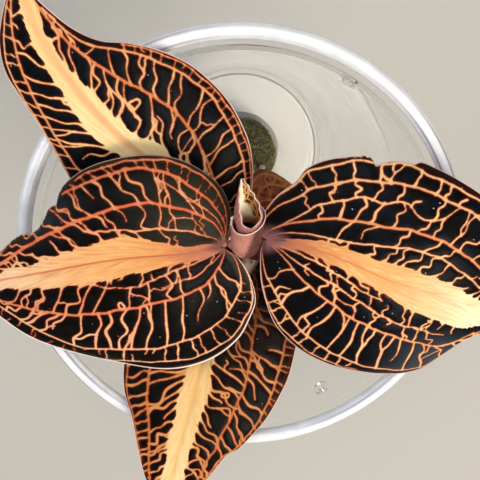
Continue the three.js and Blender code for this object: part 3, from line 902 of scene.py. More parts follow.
@dataclass(frozen=True)
class FurledSkin(Finish):
    """New leaf: dusty pink outside, cream with a brown and gold net inside."""

    constants = {
        "Specular_IOR_Level": 0.45,
        "Roughness": 0.42,
        "Subsurface_Weight": 0.15,
        "Subsurface_Scale": 0.8 * MM,
        "Subsurface_Radius": (1.0, 0.45, 0.3),
    }

    outside: str = "ab7068"
    outside_line: str = "7e4640"
    inside: str = "fff2d4"
    net_cell: str = "4c2c10"
    net_line: str = "d89a58"
    below_mouth: str = "8a5a34"
    # Painted shade: the dark colour laid inside the roll where its hollow lies in shade.
    depth: str = "1c0d08"
    flank: str = "a4685c"
    lip: str = "eac4b6"

    def dress(self, s: Look) -> None:
        """Draws both faces, by where round the roll a point lies.

        Args:
            s: The material's tree.
        """
        flow, turn, share = s.place("flow"), s.value("side"), s.value("share")
        cells = {"Vector": s.stretch(flow, (0.4, 0.6, 1)), "Scale": 1.0}
        cells = s.add("ShaderNodeTexVoronoi", cells, feature="DISTANCE_TO_EDGE")
        net = s.ease(cells.outputs["Distance"], 0.05, 0.13, 1, 0)
        netted = s.mix(net, colour(self.net_cell), colour(self.net_line))
        zone = s.ease(s.math("ADD", turn, s.centred(s.noise(flow, 0.5, 3), 0.4)), 0.02, 0.16)
        inner = s.mix(zone, colour(self.inside), netted)
        inner = s.tint(inner, s.ease(share, 0.44, 0.54, 0.9, 0), self.below_mouth)
        # Painted shade: darkens the inner face low in the opening, so that the hollow looks dark.
        painted_hole_shade = s.times(s.ease(share, 0.38, 0.43, 1, 0), s.ease(turn, 0.3, 0.6, 1, 0.2))
        inner = s.tint(inner, painted_hole_shade, self.depth)
        flank = s.times(s.ease(share, 0.5, 0.62, 1, 0), s.ease(turn, 0.35, 0.6))
        inner = s.tint(inner, flank, self.flank)
        lines = s.streaked(flow, 0.16, 1.8, 0.4, 0.7)
        outer = s.mix(s.times(lines, 0.6), colour(self.outside), colour(self.outside_line))
        skin = s.mix(s.value("inside"), outer, inner)
        rim = s.times(s.ease(s.value("edge"), 0.08, 0.3, 1, 0), s.ease(share, 0.59, 0.61))
        s.show(Base_Color=s.tint(skin, s.times(rim, 0.85), self.lip))
        s.bump(0.3, 0.08, lines)


@dataclass(frozen=True)
class ClearPlastic(Finish):
    """Clear cup wall, with faint haze and flow marks. Shadows pass through it."""

    constants = {"Transmission_Weight": 1.0, "IOR": 1.25, "Base_Color": (0.97, 0.98, 0.985, 1.0)}

    haze: float = 0.03
    shadow: float = 0.08
    most_layers: float = 4.5

    def dress(self, s: Look) -> None:
        """Draws the haze and the ripples, and lets shadow rays and deeply trapped rays through.

        Args:
            s: The material's tree.
        """
        spot = s.millimetres()
        flow_marks = s.noise(s.stretch(spot, (0.12, 0.12, 0.5)), 1.0, 3)
        path = s.add("ShaderNodeLightPath").outputs
        trapped = s.math("GREATER_THAN", path["Ray Depth"], self.most_layers)
        passing = s.math("MAXIMUM", path["Is Shadow Ray"], trapped)
        rough = s.ease(flow_marks, 0.4, 0.7, self.haze * 0.4, self.haze * 2)
        s.show(Roughness=rough, Alpha=s.ease(passing, 0, 1, 1, self.shadow))
        s.bump(0.12, 0.4, s.noise(s.stretch(spot, (0.08, 0.08, 0.02)), 1.0, 2))


@dataclass(frozen=True)
class MilkyPlastic(Finish):
    """Thick rolled plastic, which looks white."""

    constants = {"Transmission_Weight": 0.16, "IOR": 1.45, "Coat_Weight": 0.6, "Coat_Roughness": 0.08}

    body: str = "fdfdfe"
    cloud: str = "eef0f2"
    streak: str = "8e8c9c"
    streak_radii: tuple[float, float] = (45.0, 46.95)

    def dress(self, s: Look) -> None:
        """Draws clouds, and grey streaks that come and go along two circles.

        Args:
            s: The material's tree.
        """
        spot = s.millimetres()
        cloud = s.mottled(spot, 0.25)
        skin = s.mix(cloud, colour(self.body), colour(self.cloud))
        patch = s.ease(s.noise(spot, 0.025, 1), 0.42, 0.58, 0.15, 0.8)
        for radius in self.streak_radii:
            gap = s.math("ABSOLUTE", s.math("SUBTRACT", s.level_reach(spot), radius))
            skin = s.tint(skin, s.times(patch, s.ease(gap, 0.08, 0.36, 1, 0)), self.streak)
        s.show(Base_Color=skin, Roughness=s.ease(cloud, 0, 1, 0.12, 0.24))
        s.bump(0.1, 0.2, s.noise(spot, 0.6, 2))


@dataclass(frozen=True)
class Earthy(Finish):
    """Rough mottled finish of roots, root felt and moss."""

    constants = {"Specular_IOR_Level": 0.25, "Sheen_Weight": 0.15, "Sheen_Roughness": 0.6}

    dark: str
    light: str
    scale: float
    grain: float = 3.0

    def dress(self, s: Look) -> None:
        """Draws the blotches and the grain.

        Args:
            s: The material's tree.
        """
        spot = s.millimetres()
        blotch = s.mottled(spot, self.scale)
        skin = s.mix(blotch, colour(self.dark), colour(self.light))
        s.show(Base_Color=skin, Roughness=s.ease(blotch, 0, 1, 0.7, 0.95))
        s.bump(0.6, 0.25, s.noise(spot, self.grain, 3))


@dataclass(frozen=True)
class FloorFinish:
    """Plain pale floor."""

    tone: str = "b9b6ad"

    def build(self, name: str) -> Material:
        """Makes the material."""
        return Look(name, Base_Color=colour(self.tone), Roughness=0.85, Specular_IOR_Level=0.2).material


# ---- Blades ----


@dataclass(frozen=True)
class Droop:
    """Place in a blade's plan round which it tips over."""

    at: tuple[float, float]
    reach: float
    depth: float


@dataclass(frozen=True)
class BladePlan:
    """Outline and rise of a leaf, in its own plan of millimetres along and across its heading.

    Dip is how fast the blade falls away from its midrib, curl how far each margin turns down, and wave the
    height, number and start of the margin's waves. Torn is the half, the shares between which it is torn, and
    the depth of the jags. The whole outlines are from before the leaf was torn, and its veins follow them.
    """

    base: tuple[float, float, float]
    heading: float
    midrib: Pairs
    port: Pairs
    starboard: Pairs
    rise: Pairs
    dip: float
    curl: tuple[float, float]
    wave: tuple[float, float, float]
    petiole: Triples
    sheath: tuple[float, float]
    droop: Droop | None = None
    whole_port: Pairs | None = None
    whole_starboard: Pairs | None = None
    torn: tuple[Half, float, float, float] | None = None


class Blade:
    """A leaf's surface, read by share and side."""

    starboard_delay = 2

    def __init__(self, plan: BladePlan) -> None:
        """Prepares the curves of the outline and of the one from before the leaf was torn.

        Args:
            plan: The leaf's plan.
        """
        self.plan = plan
        self.midrib = Curve(plan.midrib)
        self.margins = {Half.PORT: Curve(plan.port), Half.STARBOARD: Curve(plan.starboard)}
        self.whole = {
            Half.PORT: Curve(plan.whole_port or plan.port),
            Half.STARBOARD: Curve(plan.whole_starboard or plan.starboard),
        }

    def spread(self, share: Array, side: Array, whole: bool = False) -> Array:
        """Gives places in the leaf's plan.

        Args:
            share: Share along the leaf.
            side: Place across it.
            whole: Whether the outline is the one from before the leaf was torn.

        Returns:
            (along, across) pairs in millimetres.
        """
        margins = self.whole if whole else self.margins
        centre = self.midrib.at(share)
        side = np.asarray(side)[..., None]
        edge = np.where(side < 0, margins[Half.STARBOARD].at(share), margins[Half.PORT].at(share))
        return centre + (edge - centre) * np.abs(side)

    def height(self, share: Array, side: Array, spot: Array) -> Array:
        """Gives heights above the rim.

        Args:
            share: Share along the leaf.
            side: Place across it.
            spot: The same places in the leaf's plan.

        Returns:
            The height of each place.
        """
        plan = self.plan
        tall, count, phase = plan.wave
        centre = self.midrib.at(share)
        late = np.where(side > 0, 0, self.starboard_delay)
        wave = tall * side**4 * np.sin(2 * math.pi * count * share + phase + late)
        curl = np.where(side > 0, plan.curl[0], plan.curl[1]) * side**6 * np.sin(math.pi * share)
        arch = plan.dip * (spot[..., 1] - centre[..., 1]) ** 2
        height = smooth_value(plan.rise, spot[..., 0]) - arch - curl + wave
        if plan.droop:
            away = np.hypot(*(spot - plan.droop.at).transpose(-1, *range(spot.ndim - 1)))
            height = height - plan.droop.depth * np.exp(-((away / plan.droop.reach) ** 2))
        return height

    def world(self, spot: Array, height: Array) -> Array:
        """Turns places in the plan into places in the shared frame.

        Args:
            spot: (along, across) pairs.
            height: Heights above the rim.

        Returns:
            (x, y, z) places.
        """
        turn = math.radians(self.plan.heading)
        x = self.plan.base[0] + spot[..., 0] * math.cos(turn) - spot[..., 1] * math.sin(turn)
        y = self.plan.base[1] + spot[..., 0] * math.sin(turn) + spot[..., 1] * math.cos(turn)
        return np.stack([x, y, RIM + height], axis=-1)


# ---- Veins ----


def shares(*thousandths: tuple[float, float]) -> Pairs:
    """Reads pairs that are written in thousandths."""
    return tuple((x / 1000, y / 1000) for x, y in thousandths)


@dataclass(frozen=True)
class Vein:
    """Lengthwise vein of one half, as pairs of share and distance from the midrib, 1 at the margin."""

    width: float
    warmth: float
    path: Pairs


@dataclass(frozen=True)
class Net:
    """Rule for the cross veins between two lengthwise ones.

    The lines of a half are numbered: 0 is the stripe's edge, 1 and up its veins in order, and -1 its margin.
    Lean is how far towards the tip, in millimetres, a cross vein ends from the place square to its start: at
    the start, the middle and the end of the strip. Forks, free and links are the shares of cross veins that
    fork, that end before the other line, and that are linked to the one before.
    """

    inner: int
    outer: int
    span: tuple[float, float]
    pitch: float
    lean: tuple[float, float, float]
    width: float = 0.42
    warmth: tuple[float, float] = (0.6, 0.75)
    forks: float = 0.25
    free: float = 0.15
    links: float = 0.2
    bend: float = 0.4


@dataclass(frozen=True)
class HalfNet:
    """Stripe edge, lengthwise veins and cross veins of one half."""

    stripe: Pairs
    veins: tuple[Vein, ...]
    nets: tuple[Net, ...]
    rings: tuple[tuple[float, float, float], ...] = ()


@dataclass
class Strand:
    """One drawn vein: places in the leaf's plan, with its width and its warmth at each of them."""

    places: Array
    widths: Array
    warmth: Array


class Guide:
    """Line in the plan that cross veins run between."""

    def __init__(self, places: Array) -> None:
        """Measures the line."""
        self.places = places
        self.run = np.concatenate([[0.0], np.cumsum(np.linalg.norm(np.diff(places, axis=0), axis=1))])

    def nearest(self, spot: Array) -> float:
        """Gives how far along the line a place lies."""
        return float(self.run[np.linalg.norm(self.places - spot, axis=1).argmin()])

    def at(self, run: float | Array) -> Array:
        """Gives the place that lies so far along the line."""
        return np.stack([np.interp(run, self.run, self.places[:, k]) for k in range(2)], axis=-1)


MARGIN_LINE: Pairs = ((0, 0.97), (1, 0.97))
TINY = 1e-6


def square_to(step: Array) -> Array:
    """Gives the unit vector square to a step in the plan."""
    return np.array([-step[1], step[0]]) / max(float(np.linalg.norm(step)), TINY)


class Venation:
    """Draws a blade's veins and measures how far every point lies from them."""

    far = 1.4
    blend = 0.25
    slimness = 0.76
    long_steps = 90
    knots = 5
    steps = 17
    branch_steps = 9
    ring_width = 0.4
    ring_warmth = 0.75
    warmth_reach = 0.12

    def __init__(self, blade: Blade, halves: dict[Half, HalfNet], seed: int) -> None:
        """Draws all veins.

        Args:
            blade: The blade that they run in.
            halves: Rules for each half.
            seed: Seed of the random draws.
        """
        self.blade = blade
        self.random = np.random.default_rng(seed)
        self.strands: list[Strand] = []
        for half, rule in halves.items():
            for vein in rule.veins:
                self._lengthwise(half, vein)
            for net in rule.nets:
                self._fill(half, rule, net)
            for share, side, radius in rule.rings:
                self._ring(half, share, side, radius)

    def _place(self, half: Half, share: Array, side: Array) -> Array:
        """Gives places in the plan by share and by distance from the midrib."""
        return self.blade.spread(share, np.clip(side, 0, 1) * half.value, whole=True)

    def _lengthwise(self, half: Half, vein: Vein) -> None:
        """Draws a lengthwise vein, which tapers towards both ends.

        Args:
            half: Half that it runs in.
            vein: The vein.
        """
        count = self.long_steps
        share = np.linspace(max(vein.path[0][0], 0.01), min(vein.path[-1][0], 0.99), count)
        belly = 0.6 + 0.4 * np.sin(np.linspace(0.25, math.pi - 0.2, count))
        taper = belly * (0.3 + 0.7 * smooth_step(0, 0.19, share))
        wander = 0.005 * np.sin(share * 61 + vein.width * 40) + 0.003 * np.sin(share * 127)
        places = self._place(half, share, smooth_value(vein.path, share) + wander)
        self.strands.append(Strand(places, self.slimness * vein.width * taper, np.full(count, vein.warmth)))

    def _line(self, rule: HalfNet, number: int) -> Pairs:
        """Gives one of a half's lines by its number."""
        return MARGIN_LINE if number < 0 else (rule.stripe, *(vein.path for vein in rule.veins))[number]

    def _fill(self, half: Half, rule: HalfNet, net: Net) -> None:
        """Draws the cross veins of one strip.

        Args:
            half: Half that they run in.
            rule: The half's lines.
            net: The strip's rule.
        """
        whole = np.linspace(0.005, 0.995, 240)
        lines = [self._line(rule, number) for number in (net.inner, net.outer)]
        inner, outer = (Guide(self._place(half, whole, smooth_value(line, whole))) for line in lines)
        share = np.linspace(*net.span, 120)
        middle = Guide(self._place(half, share, sum(smooth_value(line, share) for line in lines) / 2))
        count = max(2, round(middle.run[-1] / net.pitch))
        leans = tuple(zip((0, 0.5, 1), net.lean))
        previous: Array | None = None
        for number in range(count):
            stop = (number + 0.5 + self.random.uniform(-0.3, 0.3)) / count
            lean = float(smooth_value(leans, stop)) * self.random.uniform(0.6, 1.35)
            previous = self._rung(net, inner, outer, middle.at(stop * middle.run[-1]), lean, previous)

    def _bowed(self, start: Array, end: Array, bend: float, steps: int) -> Array:
        """Draws an uneven curve between two places.

        Args:
            start: First place.
            end: Last place.
            bend: How far it strays from straight.
            steps: Places in it.

        Returns:
            The curve's places.
        """
        step = end - start
        length = max(float(np.linalg.norm(step)), TINY)
        stray = self.random.normal(0, bend, self.knots - 2) * min(1.0, length / 3)
        marks = list(zip(np.linspace(0, 1, self.knots), [0.0, *stray, 0.0]))
        t = np.linspace(0, 1, steps)
        return start + step * t[:, None] + square_to(step) * smooth_value(marks, t)[:, None]

    def _rung(
        self, net: Net, inner: Guide, outer: Guide, spot: Array, lean: float, previous: Array | None
    ) -> Array:
        """Draws one cross vein, at times with a fork or a link to the one before.

        Args:
            net: The strip's rule.
            inner: Line that it starts on.
            outer: Line that it ends on.
            spot: Place in the middle of the strip that it passes.
            lean: How far its end lies towards the tip.
            previous: Places of the cross vein before this one.

        Returns:
            Places of this cross vein.
        """
        draw = self.random
        first, last = inner.nearest(spot) - lean / 2, outer.nearest(spot) + lean / 2
        path = self._bowed(inner.at(first), outer.at(last), net.bend, self.steps)
        t = np.linspace(0, 1, self.steps)
        uneven = 1 + 0.2 * np.sin(t * draw.uniform(4, 9) + draw.uniform(0, 6))
        fine = 0.6 + 0.4 * smooth_step(1, 13, spot[..., 0])
        widths = self.slimness * net.width * fine * draw.uniform(0.8, 1.2) * uneven
        warmth = np.clip(net.warmth[0] + (net.warmth[1] - net.warmth[0]) * t + draw.normal(0, 0.08), 0, 1)
        kind, outward = draw.random(), draw.random() < 0.5
        if kind < net.free:
            reach = draw.uniform(0.4, 0.75)
            keep = t <= reach if outward else t >= 1 - reach
            along = (t[keep] if outward else 1 - t[keep]) / reach
            hook = draw.choice([-1, 1]) * draw.uniform(0.2, 1.0)
            turned = path[keep] + square_to(path[-1] - path[0]) * (hook * along**3)[:, None]
            self.strands.append(Strand(turned, widths[keep] * (1 - 0.35 * along**2), warmth[keep]))
            return path
        self.strands.append(Strand(path, widths, warmth))
        if kind < net.free + net.forks:
            split = draw.integers(5, 10)
            shift = draw.choice([-1, 1]) * net.pitch * draw.uniform(0.35, 0.6)
            end = outer.at(last + shift) if outward else inner.at(first + shift)
            self._branch(path[split], end, net, widths[split] * 0.9, warmth[split])
        if previous is not None and draw.random() < net.links:
            here, there = draw.integers(4, 13, 2)
            self._branch(path[here], previous[there], net, widths[here] * 0.85, warmth[here])
        return path

    def _branch(self, start: Array, end: Array, net: Net, width: float, warmth: float) -> None:
        """Draws a short vein, straighter than the strip's others.

        Args:
            start: Where it leaves its vein.
            end: Where it ends.
            net: The strip's rule.
            width: Its width.
            warmth: Its warmth.
        """
        count = self.branch_steps
        path = self._bowed(start, end, net.bend * 0.6, count)
        self.strands.append(Strand(path, np.full(count, width), np.full(count, warmth)))

    def _ring(self, half: Half, share: float, side: float, radius: float) -> None:
        """Draws a small closed loop.

        Args:
            half: Half that it lies in.
            share: Share along the leaf of its middle.
            side: Distance of its middle from the midrib.
            radius: Its radius.
        """
        count = self.steps
        centre = self._place(half, np.array(share), np.array(side))
        angle = np.linspace(0, 2 * math.pi, count)
        uneven = radius * (1 + 0.22 * np.sin(2 * angle + share * 9) + 0.1 * np.sin(3 * angle))
        places = centre + np.stack([np.cos(angle), np.sin(angle)], axis=-1) * uneven[:, None]
        self.strands.append(Strand(places, np.full(count, self.ring_width), np.full(count, self.ring_warmth)))

    def measure(self, places: Array) -> tuple[Array, Array]:
        """Measures places in the plan against the veins.

        Args:
            places: (along, across) pairs in millimetres.

        Returns:
            Distance to the nearest vein's edge, negative inside it, and the warmth of the veins near by.
        """
        distance = np.full(len(places), self.far)
        weight, warmth = np.full(len(places), TINY), np.full(len(places), TINY / 2)
        for strand in self.strands:
            reach = self.far + strand.widths.max() / 2
            low, high = strand.places.min(axis=0) - reach, strand.places.max(axis=0) + reach
            near = np.flatnonzero(((places > low) & (places < high)).all(axis=1))
            if not len(near):
                continue
            found, warm = self._to_strand(places[near], strand)
            distance[near] = melted(distance[near], found, self.blend)
            pull = np.exp(-np.clip(found, -0.5, 5) / self.warmth_reach)
            weight[near] += pull
            warmth[near] += pull * warm
        return distance, warmth / weight

    @staticmethod
    def _to_strand(places: Array, strand: Strand) -> tuple[Array, Array]:
        """Measures places against one vein.

        Args:
            places: (along, across) pairs.
            strand: The vein.

        Returns:
            Distance to its edge, and its warmth at the nearest place.
        """
        best, warmth = np.full(len(places), np.inf), np.zeros(len(places))
        kept = (strand.places, strand.widths, strand.warmth)
        steps, grows, warms = (np.diff(values, axis=0) for values in kept)
        for k, step in enumerate(steps):
            start = strand.places[k]
            t = np.clip(((places - start) @ step) / max(step @ step, 1e-9), 0, 1)
            gap = np.linalg.norm(places - start - t[:, None] * step, axis=1)
            gap -= (strand.widths[k] + grows[k] * t) / 2
            nearer = gap < best
            best = np.where(nearer, gap, best)
            warmth = np.where(nearer, strand.warmth[k] + warms[k] * t, warmth)
        return best, warmth


def melted(first: Array, second: Array, blend: float) -> Array:
    """Gives the smaller of two distances, rounded where they differ by less than the blend."""
    overlap = np.clip(blend - np.abs(first - second), 0, None) / blend
    return np.minimum(first, second) - overlap**2 * blend / 4


# ---- Leaves ----


CROWN = (1.0, 3.8)
MOUTH_AXIS = (0.0, 0.7, 0.714)


def at_rim(places: Triples) -> Curve:
    """Draws a curve through places whose heights are given from the rim."""
    return Curve([(x, y, RIM + height) for x, y, height in places])


@dataclass
class Leaf:
    """One leaf: its blade, and the petiole and sheath that it grows from.

    Web is how far the stripe and the veins that run into it melt together, from a little inside its edge.
    First and last are the shares between which the blade is made. The keel's shares and drop say where the
    petiole runs on under it. Shoulders are rods that round off the sheath, each with the radii of its ends
    and its places.
    """

    name: str
    plan: BladePlan
    port: HalfNet
    starboard: HalfNet
    finish: NettedVelvet | ShadedLeaf
    seed: int
    slot: str = "veined_leaf"
    rows: int = 271
    columns: int = 201
    coarse: int = 2
    web: float = 1.1
    web_start: float = -0.3
    web_gap: float = 0.12
    thickness: float = 0.5
    edge_thickness: float = 0.24
    relief: float = 0.13
    groove: float = 0.35
    groove_width: float = 0.7
    flat_margin: float = 1.5
    keel: float = 0.75
    first: float = 0.006
    last: float = 0.993
    petiole_radius: float = 0.95
    keel_radius: float = 0.62
    keel_shares: tuple[float, ...] = (0.03, 0.09, 0.16)
    keel_drop: float = 0.65
    tip_taper: float = 0.35
    sheath_bore: float = 2.05
    sheath_wall: float = 0.55
    sheath_taper: float = 0.35
    skin_grain: float = 0.17
    collar: bool = False
    shoulders: tuple[tuple[float, float, Triples], ...] = ()

    def build(self, effects: Effects, tissue: Material) -> list[Object]:
        """Makes the blade, in the leaf's own finish, and its stalk, in the tissue."""
        skin = self.finish.build(self.name + "_skin", effects)
        return [dressed(self._blade(), skin), dressed(self._stalk(), tissue)]

    def _blade(self) -> Object:
        """Makes the closed blade and keeps the values that its material reads.

        Returns:
            The blade.
        """
        surface = Blade(self.plan)
        along, across = np.linspace(self.first, self.last, self.rows), np.linspace(-1, 1, self.columns)
        share, side = np.meshgrid(along, across, indexing="ij")
        spot = surface.spread(share, self._ragged(share, side))
        veins = Venation(surface, {Half.PORT: self.port, Half.STARBOARD: self.starboard}, self.seed)
        distance, warmth = (value.reshape(share.shape) for value in veins.measure(spot.reshape(-1, 2)))
        reach = surface.spread(share, np.where(side < 0, -1.0, 1.0)) - surface.midrib.at(share)
        half_width = np.linalg.norm(reach, axis=-1)
        stripe = self._stripe_distance(share, side, half_width)
        webbed = melted(distance, stripe + self.web_gap, self.web)
        distance = np.where(stripe > self.web_start, webbed, distance)
        height = surface.height(share, side, spot)
        height = height + self._relief(side, share, np.minimum(distance, stripe), half_width)
        top = surface.world(spot, height)
        bottom = surface.world(spot, height - self._thickness(share, side, half_width))
        shape = slab(top, bottom, self.coarse)
        flow = [share * surface.midrib.length, side * half_width, np.full_like(share, self.seed)]
        values = {
            "flow": np.stack(flow, axis=-1),
            "vein": distance,
            "warmth": warmth,
            "band": stripe,
            "edge": (1 - np.abs(side)) * half_width,
            "share": share,
        }
        shape.values = {label: on_both(value, self.coarse) for label, value in values.items()}
        shape.values["under"] = (np.arange(len(shape.points)) >= share.size).astype(float)
        return shape.to_object(self.name + "_blade")

    def _ragged(self, share: Array, side: Array) -> Array:
        """Pulls a torn margin in and out by a little, in a jagged line.

        Args:
            share: Share along the leaf.
            side: Place across it.

        Returns:
            The moved places across it.
        """
        if not self.plan.torn:
            return side
        half, start, end, depth = self.plan.torn
        inside = smooth_step(start, start + 0.02, share) * smooth_step(end, end - 0.02, share)
        jag = 0.5 + 0.5 * np.sin(share * 310) * np.sin(share * 127 + 1) + 0.25 * np.sin(share * 530)
        at_edge = np.clip(side * half.value, 0, 1) ** 8
        return side * (1 - depth * inside * jag * at_edge)

    def _stripe_distance(self, share: Array, side: Array, half_width: Array) -> Array:
        """Measures how far outside the stripe each point lies.

        Args:
            share: Share along the leaf.
            side: Place across it.
            half_width: Width of the half at each point.

        Returns:
            The distance in millimetres, negative on the stripe.
        """
        port = smooth_value(self.port.stripe, share)
        starboard = smooth_value(self.starboard.stripe, share)
        return (np.abs(side) - np.where(side > 0, port, starboard)) * half_width

    def _relief(self, side: Array, share: Array, distance: Array, half_width: Array) -> Array:
        """Puffs the cells between the veins and sinks the midrib.

        Args:
            side: Place across the leaf.
            share: Share along the leaf.
            distance: Distance to the nearest vein or to the stripe.
            half_width: Width of the half at each point.

        Returns:
            Heights to add.
        """
        puff = self.relief * smooth_step(-0.1, 0.9, distance)
        valley = self.groove * np.exp(-((side * half_width / self.groove_width) ** 2))
        groove = valley * np.sin(math.pi * np.clip(share, 0, 1)) ** 0.5
        return puff * smooth_step(0, self.flat_margin, (1 - np.abs(side)) * half_width) - groove

    def _thickness(self, share: Array, side: Array, half_width: Array) -> Array:
        """Gives the blade's thickness, with the midrib's keel below it.

        Args:
            share: Share along the leaf.
            side: Place across it.
            half_width: Width of the half at each point.

        Returns:
            The thickness at each point.
        """
        thick = self.edge_thickness + (self.thickness - self.edge_thickness) * (1 - np.abs(side) ** 6)
        fading = self.keel * np.clip(1 - share / 0.95, 0, 1) ** 0.7
        keel = fading * np.exp(-((side * half_width / self.keel) ** 2))
        return thick + keel * smooth_step(0.0, 0.05, share)

    def _stalk(self) -> Object:
        """Makes the petiole, its sheath, and the shoulders and the collar that it may have, grown together.

        Returns:
            The stalk.
        """
        surface = Blade(self.plan)
        share = np.array(self.keel_shares)
        spot = surface.spread(share, np.zeros(3))
        height = surface.height(share, np.zeros(3), spot) - self.thickness - self.keel_drop
        path = [(x, y, RIM + h) for x, y, h in self.plan.petiole] + surface.world(spot, height).tolist()
        shape = tube(Curve(path), 60, 20, self._petiole_radius)
        low, high = self.plan.sheath
        line = Curve([(*CROWN, RIM + low), (*CROWN, RIM + (low + high) / 2), (*CROWN, RIM + high)])
        bore, wall, taper = self.sheath_bore, self.sheath_wall, self.sheath_taper
        sheath = sleeve(line, 24, 40, lambda t: bore + wall * (1 - taper * t), lambda t: bore + 0 * t)
        shape = shape.joined(sheath)
        for wide, narrow, places in self.shoulders:
            arm = tube(at_rim(places), 40, 24, lambda t, a=wide, b=narrow: a + (b - a) * t)
            shape = shape.joined(arm)
        if self.collar:
            shape = shape.joined(self._collar())
        return grown_together(shape, self.name + "_stalk", self.skin_grain)

    def _petiole_radius(self, share: Array) -> Array:
        """Gives the petiole's radius, which narrows towards the blade and once more under it."""
        thick, thin = self.petiole_radius, self.keel_radius
        return thick + (thin - thick) * share**2 - self.tip_taper * smooth_step(0.8, 1, share)

    @staticmethod
    def _collar() -> Shape:
        """Makes the leaning open mouth of the uppermost sheath.

        Returns:
            The collar, whose mouth is cut at a slant.
        """
        line = at_rim(((1, 3.8, 1.2), (1, 4.5, 4.6), (1.1, 6.3, 7.2), (1.6, 12.7, 13.4)))
        bore = partial(smooth_value, ((0, 2.05), (0.4, 2.2), (0.7, 2.62), (1, 3.05)))
        wall = partial(smooth_value, ((0, 0.9), (0.4, 0.8), (0.8, 0.42), (1, 0.24)))
        shape = sleeve(line, 46, 48, lambda t: bore(t) + wall(t), bore)
        axis, mouth_x, slope = np.array(MOUTH_AXIS), 1.6, 0.6
        along = (shape.points - line.at(0.0)) @ axis
        slant = slope * smooth_step(4.5, 15, along) * (shape.points[:, 0] - mouth_x)
        shape.points = shape.points + axis * slant[:, None]
        return shape


LEFT_BELOW_TEAR = ((0, 0), (-1.4, -1.9), (-2.9, -5.8), (-2.2, -10.8), (1.3, -15.6), (5.1, -18.8),
                   (9.9, -20.8), (16.4, -21.4), (23.4, -20.4), (28.6, -17.6))
RIGHT_BELOW_BITE = ((0, 0), (-2.2, 2), (-2.1, 4.8), (-0.8, 9), (1.6, 13.1), (2.4, 15.9), (4.9, 18.8),
                    (8.6, 21.3), (11.6, 22.7))
RIGHT_ABOVE_BITE = ((26, 25.1), (31.2, 24.5), (36.5, 23.3), (43.5, 20.2), (50, 14.6), (55, 7.5), (59.1, 0))

LEFT_PLAN = BladePlan(
    base=(-3.6, 4.8, 7),
    heading=191.1,
    midrib=((0, 0), (7.4, -1.0), (19.4, -2.9), (30, -3.1), (45, -2.0), (55.6, 0)),
    port=((0, 0), (-2.6, 3), (-4.2, 8), (-4.2, 14.4), (-2, 19.2), (1, 23.7), (5.2, 26.3), (10.4, 27.3),
          (17.1, 26.6), (26, 22.8), (34.8, 18.2), (43.2, 12.2), (48.8, 6.2), (55.6, 0)),
    starboard=(*LEFT_BELOW_TEAR, (29.2, -15.8), (31.3, -14.8), (33, -12.6), (35.4, -10.8), (38.6, -10.6),
               (42.8, -8.2), (49.5, -4), (55.6, 0)),
    whole_starboard=(*LEFT_BELOW_TEAR, (35.5, -13.6), (42.8, -8.6), (49.5, -4), (55.6, 0)),
    rise=((-5, 6.2), (0, 7), (10, 10.5), (26, 12), (40, 10), (55.6, 4)),
    dip=0.0075,
    curl=(1.4, 3),
    wave=(0.6, 2.5, 0.6),
    petiole=((-1.3, 3.8, -7.5), (-3.05, 4, -3), (-3.45, 4.3, 2), (-3.6, 4.6, 5)),
    sheath=(-9.5, -4.2),
    torn=(Half.STARBOARD, 0.56, 0.8, 0.04),
)

RIGHT_PLAN = BladePlan(
    base=(5.0, 6.3, 7),
    heading=-20.4,
    midrib=((0, 0), (4.9, 1.9), (14.1, 2.8), (25, 2.3), (38, 2.1), (50, 1.2), (59.1, 0)),
    port=(*RIGHT_BELOW_BITE, (13.2, 22.7), (14.3, 21.6), (15.4, 22.4), (16.6, 23.2), (19, 24), (21.3, 24.3),
          (22.3, 25.1), *RIGHT_ABOVE_BITE),
    whole_port=(*RIGHT_BELOW_BITE, (13.2, 22.9), (15.3, 23.4), (20.6, 25.1), *RIGHT_ABOVE_BITE),
    starboard=((0, 0), (0, -2.2), (0.8, -4.8), (2.5, -8.8), (5.2, -12.9), (8.8, -17), (13.7, -20.1),
               (17.8, -21.5), (23, -21.8), (29.1, -21), (35.4, -20.6), (40.8, -20.2), (45, -18.2),
               (47.3, -13.4), (48.6, -8.6), (52, -4.6), (59.1, 0)),
    rise=((-4, 6.2), (0, 7), (12, 11), (28, 12.5), (42, 10), (52, 5.5), (59.1, 0.5)),
    dip=0.0075,
    curl=(1, 1.6),
    droop=Droop(at=(47, -15), reach=13, depth=4),
    wave=(0.6, 3, 2.4),
    petiole=((3.3, 4.1, -2), (4.1, 4.8, 1.8), (4.7, 5.7, 4.9)),
    sheath=(-3.4, 1.6),
    torn=(Half.PORT, 0.27, 0.36, 0.016),
)

UPPER_PLAN = BladePlan(
    base=(-2.0, 7.4, -5),
    heading=128.2,
    midrib=((0, 0), (12, 3.2), (25.8, 5), (32.1, 5.4), (41.5, 4.9), (49.7, 3.5), (57.8, 1.1), (61.1, 0)),
    port=((0, 0), (0.4, 3), (1, 7), (4, 12.6), (9.5, 17), (16, 19.4), (22, 20.1), (27.8, 19.5), (33.6, 17.6),
          (39, 15.8), (45.3, 14.3), (50.5, 13), (54.8, 10), (57.3, 6.8), (59.5, 3.2), (61.1, 0)),
    starboard=((0, 0), (-0.8, -2.2), (0.2, -5.4), (3.2, -8.5), (6.3, -10.9), (10.7, -13.3), (16.2, -14.8),
               (20.2, -15.3), (24.9, -15.1), (30.5, -14), (35.8, -11.4), (40.3, -7.9), (43.3, -4.7),
               (46.1, -3), (49.3, -1.9), (53.5, -1.2), (57.5, -0.7), (61.1, 0)),
    rise=((-3, -6), (0, -5), (12, -0.8), (27, 3), (42, 6.2), (55, 8), (61.1, 7.6)),
    dip=0.006,
    curl=(1.2, 0.8),
    wave=(0.4, 3, 1.1),
    petiole=((-0.4, 5.8, -15.5), (-1.3, 6.9, -11.5), (-1.9, 7.4, -7.2)),
    sheath=(-17.5, -12.5),
)

